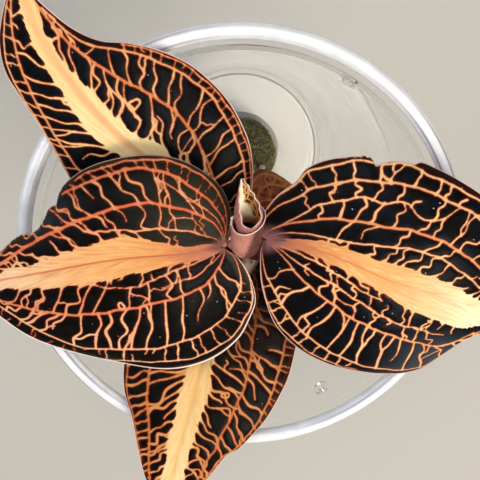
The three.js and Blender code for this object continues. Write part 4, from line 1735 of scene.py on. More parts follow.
LOWER_PLAN = BladePlan(
    base=(2.5, -4.2, -7),
    heading=-108.8,
    midrib=((0, 0), (12, -2.9), (24.4, -3.8), (35, -3.1), (44, -2.5), (52.3, -1.7), (65.3, 0)),
    port=((0, 0), (-2.2, 2.6), (-2, 7), (2, 12), (8.5, 15), (16.2, 16.4), (22.3, 16.8), (27.1, 16),
          (32.3, 14.7), (36.5, 12.9), (40.8, 10.8), (42.6, 8.9), (46.6, 7.4), (49.8, 6.3), (57.5, 3.2),
          (65.3, 0)),
    starboard=((0, 0), (-2.2, -3), (-1.4, -8), (4, -13.8), (12.5, -18.4), (22, -20.6), (30.1, -20),
               (35.6, -18), (39.7, -15.1), (46.9, -11.2), (54.6, -7.2), (60.5, -3.4), (65.3, 0)),
    rise=((-4, -8.4), (0, -7), (14, -2), (28, 2.2), (42, 5), (52, 5), (65.3, 2)),
    dip=0.006,
    curl=(0.8, 0.8),
    wave=(0.4, 3, 4),
    petiole=((1.4, 1.4, -22.5), (2.1, -1, -17.5), (2.5, -3.4, -10)),
    sheath=(-24.5, -19.5),
)

SMALL_PLAN = BladePlan(
    base=(4.4, 4.2, -27),
    heading=8,
    midrib=((0, 0), (4, 0.3), (8, 0.3), (13.2, 0)),
    port=((0, 0), (-1.4, 2), (-1.2, 5.2), (0.9, 7.7), (3.9, 7.4), (6.6, 5.6), (9.4, 2.9), (13.2, 0)),
    starboard=((0, 0), (-1.2, -2), (-1, -5.2), (1.2, -7.6), (4.4, -7.4), (7.2, -5.6), (10, -2.7), (13.2, 0)),
    rise=((-2, -27.5), (0, -27), (5, -25.6), (13.2, -26.4)),
    dip=0.015,
    curl=(0.4, 0.4),
    wave=(0.3, 2, 0),
    petiole=((3.4, 3.9, -36.5), (4.1, 4, -32.5), (4.4, 4.2, -29.5)),
    sheath=(-38.5, -33.5),
)

LEFT_PORT = HalfNet(
    stripe=shares((0, 300), (80, 220), (170, 140), (570, 138), (830, 136), (1000, 200)),
    veins=(
        Vein(0.42, 0.45, shares((0, 450), (63, 290), (116, 231), (166, 195), (262, 187), (345, 210),
            (430, 200), (500, 140))),
        Vein(0.66, 0.12, shares((0, 560), (100, 475), (200, 455), (330, 377), (460, 367), (600, 410),
            (700, 410), (850, 370), (1000, 300))),
        Vein(0.6, 0.7, shares((0, 850), (100, 820), (180, 790), (270, 770), (340, 737), (430, 737),
            (550, 760), (680, 830), (780, 700), (870, 540), (1000, 400))),
        Vein(0.52, 0.95, shares((50, 985), (150, 965), (270, 947), (330, 926), (410, 910), (500, 894),
            (620, 966))),
        Vein(0.38, 0.5, shares((0, 500), (69, 393), (134, 345), (200, 330), (262, 283), (310, 270))),
    ),
    nets=(
        Net(0, 1, (0.16, 0.46), 3.0, (1.5, 1.5, 1.0), 0.34, (0.5, 0.6), forks=0, free=0.3, links=0.1),
        Net(1, 2, (0.2, 0.46), 4.2, (0, 0.8, 1.5), 0.42, (0.6, 0.6), forks=0.5, free=0.1, links=0.5),
        Net(1, 5, (0.08, 0.28), 4.0, (1.0, 1.0, 1.0), 0.36, (0.5, 0.6), forks=0, free=0.3, links=0),
        Net(0, 2, (0.46, 0.97), 3.0, (4.5, 4.2, 3.0), 0.42, (0.5, 0.45), forks=0.3, links=0.25, bend=0.5),
        Net(2, 3, (0.14, 0.93), 3.0, (4.0, 2.5, 4.6), 0.58, (0.5, 0.95), forks=0.4, free=0.12, links=0.1,
            bend=0.5),
        Net(3, 4, (0.12, 0.62), 2.5, (1.0, 0.4, 0.5), 0.42, (0.9, 0.9), forks=0, free=0.2, links=0,
            bend=0.14),
        Net(3, -1, (0.62, 0.9), 2.4, (1, 1, 1), 0.26, (0.6, 0.1), forks=0, free=1, links=0, bend=0.15),
    ),
    rings=((0.455, 0.335, 0.62),),
)

LEFT_STARBOARD = HalfNet(
    stripe=shares((0, 300), (80, 170), (140, 125), (250, 170), (370, 230), (535, 190), (810, 256),
                  (1000, 300)),
    veins=(
        Vein(0.42, 0.6, shares((0, 550), (50, 430), (100, 360), (190, 340), (260, 320), (330, 292),
            (410, 330))),
        Vein(0.66, 0.05, shares((0, 720), (80, 620), (210, 572), (340, 564), (430, 530), (520, 503),
            (650, 540), (850, 520), (1000, 400))),
        Vein(0.56, 0.12, shares((0, 840), (140, 780), (250, 835), (350, 885), (410, 885), (510, 860),
            (580, 920))),
        Vein(0.36, 0.35, shares((40, 850), (94, 890), (150, 938), (230, 961), (300, 965), (450, 955),
            (540, 950))),
        Vein(0.4, 0.3, shares((790, 900), (900, 720), (1000, 500))),
        Vein(0.34, 0.5, shares((0, 780), (80, 700), (150, 680), (220, 700), (290, 780))),
    ),
    nets=(
        Net(0, 1, (0.16, 0.38), 3.4, (2, 3, 3), 0.34, (0.7, 0.7), forks=0, free=0.2, links=0.1),
        Net(1, 2, (0.1, 0.38), 3.2, (2, 3, 3), 0.38, (0.7, 0.5), forks=0.1, free=0.45, links=0.1, bend=0.5),
        Net(0, 2, (0.37, 0.97), 2.8, (3.6, 4.0, 3.0), 0.44, (0.75, 0.4), forks=0.35, links=0.3, bend=0.5),
        Net(2, 3, (0.17, 0.58), 2.9, (5.0, 4.6, 3.2), 0.48, (0.6, 0.5), forks=0.25, free=0.2, links=0.1,
            bend=0.4),
        Net(2, -1, (0.58, 0.95), 2.7, (3.4, 3.0, 2.4), 0.42, (0.4, 0.5), forks=0.1, free=0.15, links=0,
            bend=0.25),
        Net(3, 4, (0.08, 0.56), 2.2, (0.6, 1.0, 1.2), 0.28, (0.4, 0.4), forks=0, free=0.1, links=0,
            bend=0.12),
    ),
)

RIGHT_PORT = HalfNet(
    stripe=shares((0, 0), (60, 70), (150, 132), (320, 137), (476, 154), (615, 153), (775, 100), (1000, 100)),
    veins=(
        Vein(0.42, 0.85, shares((0, 280), (60, 266), (150, 237), (260, 202), (370, 264), (460, 314),
            (540, 342), (610, 321), (750, 250), (900, 200))),
        Vein(0.6, 0.25, shares((0, 550), (50, 483), (147, 436), (280, 425), (410, 450), (540, 480),
            (700, 434), (850, 380), (1000, 300))),
        Vein(0.46, 0.8, shares((60, 470), (117, 490), (180, 570), (242, 586), (332, 649), (370, 638),
            (440, 660), (466, 600), (540, 665), (570, 800))),
        Vein(0.54, 0.6, shares((0, 920), (75, 866), (170, 794), (254, 769), (340, 802), (440, 805),
            (540, 809), (630, 816), (800, 740), (1000, 500))),
        Vein(0.5, 0.8, shares((80, 985), (180, 975), (240, 944), (310, 954), (420, 956), (490, 928),
            (570, 941), (700, 930), (880, 840))),
    ),
    nets=(
        Net(0, 1, (0.18, 0.9), 3.0, (2.0, 2.6, 2.4), 0.4, (0.9, 0.9), forks=0.1, free=0.2, links=0.05),
        Net(1, 2, (0.2, 0.93), 6.2, (3.4, 3.6, 3.4), 0.42, (0.9, 0.7), forks=0.3, free=0.3, links=0.3,
            bend=0.5),
        Net(2, 3, (0.17, 0.56), 3.8, (0.3, 1.8, 2.0), 0.52, (0.6, 0.8), forks=0.15, free=0.05, links=0.05),
        Net(3, 4, (0.16, 0.55), 4.2, (0.2, 1.0, 1.4), 0.5, (0.8, 0.8), forks=0.35, free=0.1, links=0.2,
            bend=0.5),
        Net(2, 4, (0.58, 0.95), 3.6, (2.0, 2.5, 2.5), 0.46, (0.7, 0.8), forks=0.4, free=0.1, links=0.45,
            bend=0.5),
        Net(4, 5, (0.15, 0.88), 3.8, (-0.4, 0.8, 2.0), 0.54, (0.75, 0.85), forks=0.2, free=0.04, links=0,
            bend=0.2),
    ),
)

RIGHT_STARBOARD = HalfNet(
    stripe=shares((0, 300), (60, 220), (128, 100), (230, 80), (344, 100), (410, 109), (530, 190), (655, 240),
                  (760, 360), (900, 500), (1000, 500)),
    veins=(
        Vein(0.42, 0.9, shares((0, 290), (50, 240), (130, 160), (230, 140), (340, 165), (440, 190))),
        Vein(0.46, 0.75, shares((0, 320), (53, 300), (164, 275), (300, 250), (370, 267), (440, 303),
            (520, 360), (600, 370), (700, 430))),
        Vein(0.56, 0.35, shares((0, 380), (40, 360), (195, 405), (320, 409), (430, 449), (540, 502),
            (650, 553), (770, 680), (880, 800))),
        Vein(0.52, 0.7, shares((0, 930), (67, 885), (186, 796), (305, 809), (415, 843), (510, 906),
            (610, 926), (720, 960), (800, 985))),
        Vein(0.42, 0.7, shares((80, 985), (165, 974), (280, 950), (390, 961), (500, 975))),
    ),
    nets=(
        Net(0, 1, (0.16, 0.44), 3.6, (2.0, 2.4, 2.4), 0.34, (0.95, 0.9), forks=0, free=0.1, links=0),
        Net(1, 2, (0.16, 0.44), 3.4, (0.6, 1.0, 1.6), 0.38, (0.9, 0.8), forks=0.1, free=0.15, links=0.05,
            bend=0.2),
        Net(2, 3, (0.17, 0.68), 3.8, (0.6, 1.6, 2.6), 0.46, (0.8, 0.7), forks=0.25, free=0.25, links=0.2,
            bend=0.5),
        Net(0, 2, (0.46, 0.74), 2.6, (1.0, 1.6, 2.4), 0.44, (0.95, 0.8), forks=0.3, free=0.2, links=0.15),
        Net(3, 4, (0.1, 0.9), 3.6, (-1.0, 3.0, 1.6), 0.56, (0.7, 0.9), forks=0.4, free=0.1, links=0.25,
            bend=0.45),
        Net(4, 5, (0.12, 0.5), 2.9, (0.3, 0.6, 0.6), 0.44, (0.7, 0.8), forks=0.1, free=0.25, links=0,
            bend=0.15),
    ),
)

UPPER_PORT = HalfNet(
    stripe=shares((0, 200), (400, 170), (470, 222), (550, 264), (660, 237), (765, 196), (940, 214),
                  (1000, 250)),
    veins=(
        Vein(0.54, 0.3, shares((0, 750), (300, 740), (470, 759), (570, 804), (656, 796), (744, 697),
            (810, 603), (866, 590), (940, 597), (1000, 500))),
        Vein(0.36, 0.7, shares((500, 970), (700, 955), (780, 900), (860, 840), (930, 840), (1000, 800))),
    ),
    nets=(
        Net(0, 1, (0.05, 0.98), 3.1, (7.0, 6.0, 1.6), 0.44, (0.95, 0.8), forks=0.4, free=0.25, links=0.12),
        Net(1, 2, (0.3, 0.97), 2.4, (1.0, 1.4, 0.4), 0.36, (0.6, 0.7), forks=0, free=0.1, links=0, bend=0.12),
    ),
)

UPPER_STARBOARD = HalfNet(
    stripe=shares((0, 100), (300, 200), (380, 200), (430, 130), (550, 108), (640, 128), (756, 110),
                  (840, 200), (877, 294), (930, 500), (1000, 500)),
    veins=(
        Vein(0.62, 0.1, shares((0, 300), (100, 360), (180, 420), (320, 520), (400, 552), (485, 538),
            (575, 477), (670, 450), (784, 529), (874, 630), (1000, 700))),
        Vein(0.5, 0.45, shares((0, 880), (250, 873), (345, 884), (440, 900), (510, 876), (575, 860),
            (657, 845), (750, 780), (800, 770), (900, 800))),
        Vein(0.32, 0.4, shares((0, 970), (300, 965), (500, 965), (700, 960))),
    ),
    nets=(
        Net(0, 1, (0.06, 0.6), 2.5, (5.5, 6.5, 6.5), 0.42, (0.95, 0.6), forks=0.4, free=0.25, links=0.6,
            bend=0.6),
        Net(0, 1, (0.6, 0.93), 3.0, (6.0, 5.0, 3.0), 0.42, (0.8, 0.5), forks=0.2, free=0.2, links=0.1),
        Net(1, 2, (0.04, 0.92), 2.9, (2.6, 3.4, 3.0), 0.44, (0.6, 0.7), forks=0.25, free=0.15, links=0.1),
        Net(2, 3, (0.05, 0.7), 2.0, (0.2, 0.2, 0.4), 0.28, (0.4, 0.4), forks=0, free=0.1, links=0, bend=0.08),
    ),
    rings=((0.519, 0.34, 0.95), (0.3, 0.3, 0.8)),
)

LOWER_PORT = HalfNet(
    stripe=shares((0, 100), (300, 110), (370, 118), (454, 155), (523, 155), (613, 167), (690, 198),
                  (800, 309), (1000, 400)),
    veins=(
        Vein(0.6, 0.15, shares((0, 400), (300, 484), (417, 529), (522, 529), (617, 542), (708, 637),
            (790, 724), (1000, 700))),
        Vein(0.56, 0.3, shares((0, 880), (334, 861), (428, 863), (527, 898), (603, 920), (682, 925),
            (1000, 900))),
    ),
    nets=(
        Net(0, 1, (0.05, 0.97), 2.3, (4.5, 4.5, 2.0), 0.54, (0.75, 0.6), forks=0.4, free=0.3, links=0.3,
            bend=0.5),
        Net(1, 2, (0.05, 0.9), 2.6, (4.0, 4.5, 2.0), 0.54, (0.5, 0.7), forks=0.35, free=0.2, links=0.12),
        Net(2, -1, (0.15, 0.85), 1.9, (0.5, 0.5, 0.5), 0.36, (0.4, 0.3), forks=0, free=0.1, links=0,
            bend=0.08),
    ),
    rings=((0.47, 0.36, 0.7),),
)

LOWER_STARBOARD = HalfNet(
    stripe=shares((0, 100), (300, 110), (410, 128), (500, 170), (573, 161), (660, 207), (760, 227),
                  (820, 292), (1000, 400)),
    veins=(
        Vein(0.6, 0.15, shares((0, 600), (300, 630), (474, 633), (610, 604), (743, 680), (840, 779),
            (1000, 800))),
        Vein(0.42, 0.2, shares((0, 930), (530, 940), (620, 945), (707, 955), (780, 960))),
    ),
    nets=(
        Net(0, 1, (0.05, 0.97), 2.2, (5.5, 5.5, 2.5), 0.6, (0.75, 0.6), forks=0.35, free=0.12, links=0.1),
        Net(1, 2, (0.05, 0.85), 2.1, (2.4, 2.2, 1.0), 0.6, (0.5, 0.6), forks=0.1, free=0.08, links=0.02,
            bend=0.2),
    ),
)

SMALL_HALF = HalfNet(
    stripe=shares((0, 40), (1000, 40)),
    veins=(
        Vein(0.4, 0.3, shares((0, 500), (500, 500), (1000, 400))),
        Vein(0.3, 0.3, shares((0, 850), (500, 860), (1000, 800))),
    ),
    nets=(
        Net(0, 1, (0.1, 0.9), 2.6, (1.6, 1.6, 1.6), 0.26),
        Net(1, 2, (0.1, 0.9), 2.2, (1, 1, 1), 0.26),
    ),
)


def all_leaves() -> list[Leaf]:
    """Lists the plant's leaves.

    Returns:
        The leaves, from the uppermost down.
    """
    left_skin = NettedVelvet(
        stripe_base="c4733f", stripe_middle="dca468", stripe_tip="e8c8a0", main_vein="c85e3a",
        fine_vein="e0c08e", base_sheen="34362a", far_sheen="343c46", margin="fbe8e0",
        margin_reach=(0.75, 0.16), margin_strength=(0.95, 0.4), margin_start=0.2, rim_band="38291f",
        rim_reach=1.4,
    )
    upper_skin = NettedVelvet(
        stripe_base="d8a866", stripe_middle="ecd098", stripe_tip="e8c084", stripe_streak="dca65e",
        stripe_light="f8e4ac", midline="dc9a68", midline_reach=1.3, main_vein="c05c32", fine_vein="e8c488",
        cell_sheen="0c1016",
    )
    right_skin = NettedVelvet(
        stripe_base="c8703e", stripe_middle="e0aa6c", stripe_tip="f0f8d0", stripe_streak="d88a48",
        stripe_light="f4dc9c", midline="c8703c", midline_end=0.6, main_vein="cc6c3e", fine_vein="e8c48c",
        base_flush="84585a", flush_reach=6.4, margin_reach=(0.12, 0.32), cell_sheen="0c1016",
        far_sheen="343c46",
    )
    lower_skin = NettedVelvet(
        stripe_base="c8804a", stripe_middle="dab276", stripe_tip="ead09a", stripe_streak="c88a50",
        stripe_light="ead098", midline="dcaa64", midline_reach=0.8, main_vein="a84e22", fine_vein="d4a062",
        # The lower leaf gets painted shade towards its base, under the leaves above. Its base flush is near
        # white: the cream base is made paler as painted light where those leaves shade it.
        base_flush="fff4d2", flush_reach=5.6, rim_band="3a1c10", rim_reach=1.6, painted_shade=0.44,
    )
    shoulders = (
        (1.8, 1.2, ((1.6, 2.0, -3), (3.3, 0.9, 0.1), (4.4, 2.6, 2.8), (5.3, 5.2, 5.3))),
        (2.3, 0.8, ((0.9, 3.6, 2.0), (-0.5, 4.0, 4.2), (-2.2, 4.9, 5.3))),
    )
    small = {"slot": "shaded_leaf", "rows": 61, "columns": 41, "relief": 0.1}
    return [
        Leaf("leaf_left", LEFT_PLAN, LEFT_PORT, LEFT_STARBOARD, left_skin, 11, petiole_radius=1.1),
        Leaf("leaf_right", RIGHT_PLAN, RIGHT_PORT, RIGHT_STARBOARD, right_skin, 23, petiole_radius=1.2,
             collar=True, shoulders=shoulders),
        Leaf("leaf_upper", UPPER_PLAN, UPPER_PORT, UPPER_STARBOARD, upper_skin, 37),
        Leaf("leaf_lower", LOWER_PLAN, LOWER_PORT, LOWER_STARBOARD, lower_skin, 41),
        Leaf("leaf_small", SMALL_PLAN, SMALL_HALF, SMALL_HALF, ShadedLeaf(), 53, **small),
    ]


@dataclass
class FurledLeaf:
    """The new leaf, still rolled, which rises out of the collar.

    Radii, wrap and turn say, by share of its length, how wide the roll is, how many degrees the sheet goes
    round, and how far its opening is turned.
    """

    spine: Triples = ((1, 3.8, 2.8), (1, 4.5, 4.8), (1.1, 6.3, 7.2), (1.7, 12.2, 13.2), (0.4, 21.8, 19))
    radii: Pairs = ((0, 1.4), (0.2, 1.6), (0.36, 2.0), (0.46, 2.35), (0.54, 2.55), (0.61, 2.78), (0.72, 2.35),
                    (0.86, 1.35), (1, 0.3))
    wrap: Pairs = ((0, 357), (0.592, 355), (0.604, 322), (0.63, 290), (0.68, 262), (0.85, 212), (1, 190))
    turn: Pairs = ((0, 6), (0.58, 6), (0.68, 22), (1, 26))
    thickness: float = 0.34
    ripple: float = 0.16
    seed: float = 3.0
    rows: int = 141
    columns: int = 97

    def build(self, effects: Effects) -> Object:
        """Makes the rolled sheet.

        Args:
            effects: Shared shader groups.

        Returns:
            The furled leaf, whose outer face comes first in its mesh.
        """
        line = at_rim(self.spine)
        along = np.linspace(0, 1, self.rows)
        share, side = np.meshgrid(along, np.linspace(-1, 1, self.columns), indexing="ij")
        tangent = line.frames(along)[0]
        across = np.array([1.0, 0, 0]) - tangent * tangent[:, :1]
        across /= np.linalg.norm(across, axis=1, keepdims=True)
        upward = np.cross(across, tangent)
        half = np.radians(smooth_value(self.wrap, share)) / 2
        angle = np.radians(smooth_value(self.turn, share)) + math.pi - half * side
        radius = smooth_value(self.radii, share)
        wavy = self.ripple * np.sin(share * 70) * np.abs(side) ** 6 * smooth_step(0.35, 0.5, share)
        outside = radius + wavy
        inside = outside - self.thickness * np.clip(radius / 1.2, 0, 1) * (1 - 0.5 * side**8)
        arm = upward[:, None] * np.cos(angle)[..., None] + across[:, None] * np.sin(angle)[..., None]
        shape = slab(*(line.at(share) + arm * reach[..., None] for reach in (outside, inside)))
        flow = [share * line.length, side * half * radius, np.full_like(share, self.seed)]
        values = {
            "flow": np.stack(flow, axis=-1),
            "share": share,
            "side": side,
            "edge": (1 - np.abs(side)) * half * radius,
        }
        shape.values = {label: on_both(value) for label, value in values.items()}
        shape.values["inside"] = np.repeat([0.0, 1.0], share.size)
        return dressed(shape.to_object("furled_leaf_roll"), FurledSkin().build("furled_skin", effects))


# ---- Stem, roots and moss ----


STEM_LINE = Curve([(0, 0, 6), (-0.2, 0.1, 24), (0.4, 2, 45), (*CROWN, 66), (*CROWN, 88), (*CROWN, 109)])
LEAN = 0.5
FULL_TURN = 6.28


class LeanAxes(Enum):
    """Axes that scattered pieces lean about."""

    OF_PLANT = "OBJECT"
    OF_PIECE = "LOCAL"


class Growing(Tree):
    """Geometry node tree that scatters or sweeps, run once and turned into a plain mesh."""

    def __init__(self, name: str, sizes: dict[str, float]) -> None:
        """Starts the tree.

        Args:
            name: Name of the tree.
            sizes: Value of each named size. A whole number gets a whole-number input.
        """
        super().__init__(bpy.data.node_groups.new(name, "GeometryNodeTree"))
        sockets = self.tree.interface
        sockets.new_socket("Geometry", in_out="INPUT", socket_type=GEOMETRY)
        self.sizes = {}
        for label, value in sizes.items():
            kind = WHOLE_NUMBER if isinstance(value, int) else NUMBER
            self.sizes[sockets.new_socket(label, in_out="INPUT", socket_type=kind).identifier] = value
        sockets.new_socket("Geometry", in_out="OUTPUT", socket_type=GEOMETRY)
        self.given = self.tree.nodes.new("NodeGroupInput").outputs

    def scatter(self, density: object, piece: object, scale: object, axes: LeanAxes) -> Node:
        """Scatters a piece over the faces by the size Seed, each one leaning its own way.

        Args:
            density: Pieces to a square metre.
            piece: What is scattered.
            scale: Its scale.
            axes: Axes that it leans about.

        Returns:
            The node that places the pieces.
        """
        seed = self.given["Seed"]
        spread = {"Mesh": self.given[0], "Density": density, "Seed": seed}
        spots = self.add("GeometryNodeDistributePointsOnFaces", spread).outputs
        lean = {"Min": (-LEAN, -LEAN, 0.0), "Max": (LEAN, LEAN, FULL_TURN), "Seed": seed}
        tilt = self.add("FunctionNodeRandomValue", lean, data_type="FLOAT_VECTOR")
        turning = {"Rotation": spots["Rotation"], "Rotate By": tilt}
        turned = self.add("FunctionNodeRotateEuler", turning, space=axes.value)
        placed = {"Points": spots["Points"], "Instance": piece, "Rotation": turned, "Scale": scale}
        return self.add("GeometryNodeInstanceOnPoints", placed)

    def finish(self, geometry: object, material: Material) -> None:
        """Ends the tree in real, dressed geometry.

        Args:
            geometry: What the tree has made.
            material: Its material.
        """
        real = self.add("GeometryNodeRealizeInstances", {0: geometry})
        result = self.add("GeometryNodeSetMaterial", {"Geometry": real, "Material": material})
        self.feed(self.tree.nodes.new("NodeGroupOutput").inputs[0], result)

    def grow(self, host: Object, name: str) -> Object:
        """Runs the tree on an object.

        Args:
            host: The object, which is removed.
            name: Name of the result.

        Returns:
            A plain mesh object.
        """
        modifier = host.modifiers.new("grow", "NODES")
        modifier.node_group = self.tree
        for identifier, value in self.sizes.items():
            modifier[identifier] = value
        return evaluated(host, name)


@dataclass
class Stem:
    """Upright stem with swollen joints."""

    foot_radius: float = 2.4
    top_radius: float = 1.7
    taper_end: float = 0.62
    joints: tuple[float, ...] = (0.16, 0.3, 0.45, 0.58)
    swell: float = 0.32
    reach: float = 0.018
    steps: int = 180
    sides: int = 32

    def radius(self, share: Array) -> Array:
        """Gives the stem's radius.

        Args:
            share: Shares of its length.

        Returns:
            The radius at each of them.
        """
        swelling = sum(self.swell * np.exp(-(((share - at) / self.reach) ** 2)) for at in self.joints)
        base = self.foot_radius + (self.top_radius - self.foot_radius) * np.minimum(1, share / self.taper_end)
        return base + swelling

    def build(self, tissue: Material) -> list[Object]:
        """Makes the stem."""
        return [dressed(tube(STEM_LINE, self.steps, self.sides, self.radius).to_object("stem_core"), tissue)]


@dataclass
class Roots:
    """Thick felted roots from the lower stem into the moss."""

    lines: dict[str, Triples] = field(
        default_factory=lambda: {
            "root_1": ((-0.2, 0.1, 27), (-4.2, 2.2, 26.2), (-6.8, 3.4, 19.5), (-6.4, 3.2, 9)),
            "root_2": ((-0.2, 0, 31), (4.8, -1.4, 30), (7.2, -2.2, 22), (6.4, -2, 8)),
            "root_3": ((-0.2, 0.1, 23), (-2.2, -4.4, 22.4), (-3, -6.8, 17), (-2.6, -6, 7.5)),
        }
    )
    radius: float = 1.0
    tip_radius: float = 0.7
    unevenness: float = 0.05
    bumpiness: float = 47
    hairs_per_mm2: float = 3.0
    hair_length: float = 0.5
    hair_radius: float = 0.035
    skin: Earthy = Earthy("7c6440", "c9b58a", 0.5)
    felt: Earthy = Earthy("b8a680", "d8caa4", 0.8)

    def build(self, effects: Effects) -> dict[str, list[Object]]:
        """Makes each root and its felt.

        Args:
            effects: Shared shader groups.

        Returns:
            The pieces, by the node that they stand for.
        """
        skin, felt = self.skin.build("root_skin", effects), self.felt.build("root_felt", effects)
        made = {}
        for number, (name, points) in enumerate(self.lines.items()):
            shape = tube(Curve(points), 90, 20, partial(self._radius, number))
            root = dressed(shape.to_object(name + "_core"), skin)
            made[name] = [root, self._felted(shape.to_object(name + "_host"), name + "_felt", felt, number)]
        return made

    def _radius(self, number: int, share: Array) -> Array:
        """Gives a root's radius at shares of its length, a little uneven and by its number."""
        smooth = self.radius + (self.tip_radius - self.radius) * share**3
        return smooth * (1 + self.unevenness * np.sin(share * self.bumpiness + number))

    def _felted(self, host: Object, name: str, felt: Material, seed: int) -> Object:
        """Scatters short hairs over a root.

        Args:
            host: Object with the root's surface.
            name: Name of the hairs.
            felt: Their material.
            seed: Seed of where they stand.

        Returns:
            The hairs.
        """
        sizes = {
            "Hairs per square metre": self.hairs_per_mm2 / MM**2,
            "Hair length": self.hair_length * MM,
            "Hair radius": self.hair_radius * MM,
            "Seed": seed,
        }
        tree = Growing(name + "_rule", sizes)
        hair = {"Vertices": 3, "Radius Top": 0.0}
        hair |= {"Radius Bottom": tree.given["Hair radius"], "Depth": tree.given["Hair length"]}
        cone = tree.add("GeometryNodeMeshCone", hair, fill_type="NONE")
        density = tree.given["Hairs per square metre"]
        tree.finish(tree.scatter(density, cone, (1.0, 1.0, 1.0), LeanAxes.OF_PLANT), felt)
        return tree.grow(host, name)


@dataclass
class MossPlug:
    """Damp moss that holds the stem in the foot of the cup."""

    profile: Pairs = ((0, 1.1), (6, 1.1), (10, 1.1), (11.2, 2.9), (10.9, 10.7), (9.3, 16.2), (7.5, 17.7),
                      (3, 18.4), (0, 18.6))
    rows: int = 90
    segments: int = 140
    broad: float = 11
    stem_radius: float = 2.4
    clear: float = 1.3
    tufts_per_mm2: float = 1.1
    tuft_scale: tuple[float, float] = (0.7, 1.35)
    leaflets: int = 4
    seed: int = 7
    core: Earthy = Earthy("1f1a0e", "4a3a1e", 0.6)
    moss: Earthy = Earthy("3a3a16", "6f6a32", 0.7)

    def build(self, effects: Effects, roots: Roots) -> list[Object]:
        """Makes the lumpy plug and the tufts that cover it.

        Args:
            effects: Shared shader groups.
            roots: The roots that the tufts keep clear of.

        Returns:
            The plug and its tufts.
        """
        body = self._body()
        core = dressed(body.to_object("moss_core"), self.core.build("moss_core_skin", effects))
        body.values = {"room": self._room(body.points, roots)}
        tufts = self._tufts(body.to_object("moss_host"), self.moss.build("moss_tuft_skin", effects))
        return [core, tufts]

    def _body(self) -> Shape:
        """Turns the profile and pushes its skin in and out in soft lumps.

        Returns:
            The plug.
        """
        outline = Curve(self.profile).at(np.linspace(0, 1, self.rows))
        outline[[0, -1], 0] = 0
        shape = lathe([tuple(spot) for spot in outline], self.segments)
        angle = np.arctan2(shape.points[:, 1], shape.points[:, 0])
        height = shape.points[:, 2]
        reach = np.hypot(shape.points[:, 0], shape.points[:, 1]) / self.broad
        lump = np.sin(5 * angle + height * 0.5) * 0.3 + np.sin(11 * angle - height * 0.9) * 0.18
        lump = lump + np.sin(19 * angle + height * 1.7) * np.sin(height * 2.1) * 0.12
        shape.points[:, :2] *= (1 + 0.06 * lump * smooth_step(0.2, 0.8, reach))[:, None]
        top = smooth_step(14, 18, height)
        shape.points[:, 2] += 0.35 * top * np.sin(reach * 17 + 3 * angle) * smooth_step(0, 0.3, reach)
        return shape

    def _room(self, points: Array, roots: Roots) -> Array:
        """Finds where tufts may grow.

        Args:
            points: Places on the plug.
            roots: The roots to keep clear of.

        Returns:
            1 at each free place, and 0 beside the stem, the roots and the cup's floor.
        """
        lines = [STEM_LINE, *(Curve(line) for line in roots.lines.values())]
        widths = [self.stem_radius, *[roots.radius] * len(roots.lines)]
        room = smooth_step(1.8, 2.6, points[:, 2])
        for line, wide in zip(lines, widths):
            spots = line.at(np.linspace(0, 1, 120))
            away = np.linalg.norm(points[:, None] - spots[None], axis=2).min(axis=1)
            room = room * (away > wide + self.clear)
        return room

    def _frond(self) -> Object:
        """Makes one tuft of pointed bent leaflets.

        Returns:
            The tuft, standing on the origin.
        """
        parts = None
        for k in range(self.leaflets):
            turn = k * 2 * math.pi / self.leaflets + 0.3
            reach = 0.75 + 0.12 * (k % 2)
            out = np.array([math.cos(turn), math.sin(turn), 0])
            line = [out * 0.05 + (0, 0, -0.2), out * reach * 0.5 + (0, 0, 0.7), out * reach + (0, 0, 0.75)]
            leaflet = tube(Curve(line), 2, 3, lambda t: 0.2 * (1 - t) ** 0.5 * (0.6 + t) + 0.02)
            parts = leaflet if parts is None else parts.joined(leaflet)
        return parts.to_object("moss_frond", 90)

    def _tufts(self, host: Object, material: Material) -> Object:
        """Scatters tufts over the plug.

        Args:
            host: Object with the plug's surface and the room on it.
            material: The tufts' material.

        Returns:
            The tufts.
        """
        frond = self._frond()
        smallest, largest = self.tuft_scale
        sizes = {"Smallest": smallest, "Largest": largest, "Seed": self.seed}
        tree = Growing("moss_rule", {"Tufts per square metre": self.tufts_per_mm2 / MM**2, **sizes})
        given = tree.given
        room = tree.add("GeometryNodeInputNamedAttribute", {"Name": "room"}, data_type="FLOAT").outputs[0]
        thinned = {0: room, 1: given["Tufts per square metre"]}
        density = tree.add("ShaderNodeMath", thinned, operation="MULTIPLY")
        source = tree.add("GeometryNodeObjectInfo", {"Object": frond}).outputs["Geometry"]
        grown = {2: given["Smallest"], 3: given["Largest"], "Seed": given["Seed"]}
        scale = tree.add("FunctionNodeRandomValue", grown, data_type="FLOAT").outputs[1]
        tree.finish(tree.scatter(density, source, scale, LeanAxes.OF_PIECE), material)
        tufts = tree.grow(host, "moss_tufts")
        bpy.data.objects.remove(frond)
        return tufts


# ---- Cup ----


def rounded(profile: Pairs, radius: float, steps: int = 5, most: float = 0.45) -> list[tuple[float, float]]:
    """Rounds the corners of a closed profile that starts and ends on the axis.

    Args:
        profile: Corner points.
        radius: How far from a corner its rounding starts.
        steps: Points in each rounding.
        most: Largest share of an edge that one rounding takes up.

    Returns:
        The rounded profile.
    """
    points = np.array(profile, dtype=float)
    result = [tuple(points[0])]
    for before, corner, after in zip(points, points[1:], points[2:]):
        back, ahead = before - corner, after - corner
        room = min(radius, np.linalg.norm(back) * most, np.linalg.norm(ahead) * most)
        start = corner + back / np.linalg.norm(back) * room
        end = corner + ahead / np.linalg.norm(ahead) * room
        for t in np.linspace(0, 1, steps):
            result.append(tuple(start * (1 - t) ** 2 + corner * 2 * t * (1 - t) + end * t**2))
    return [*result, tuple(points[-1])]


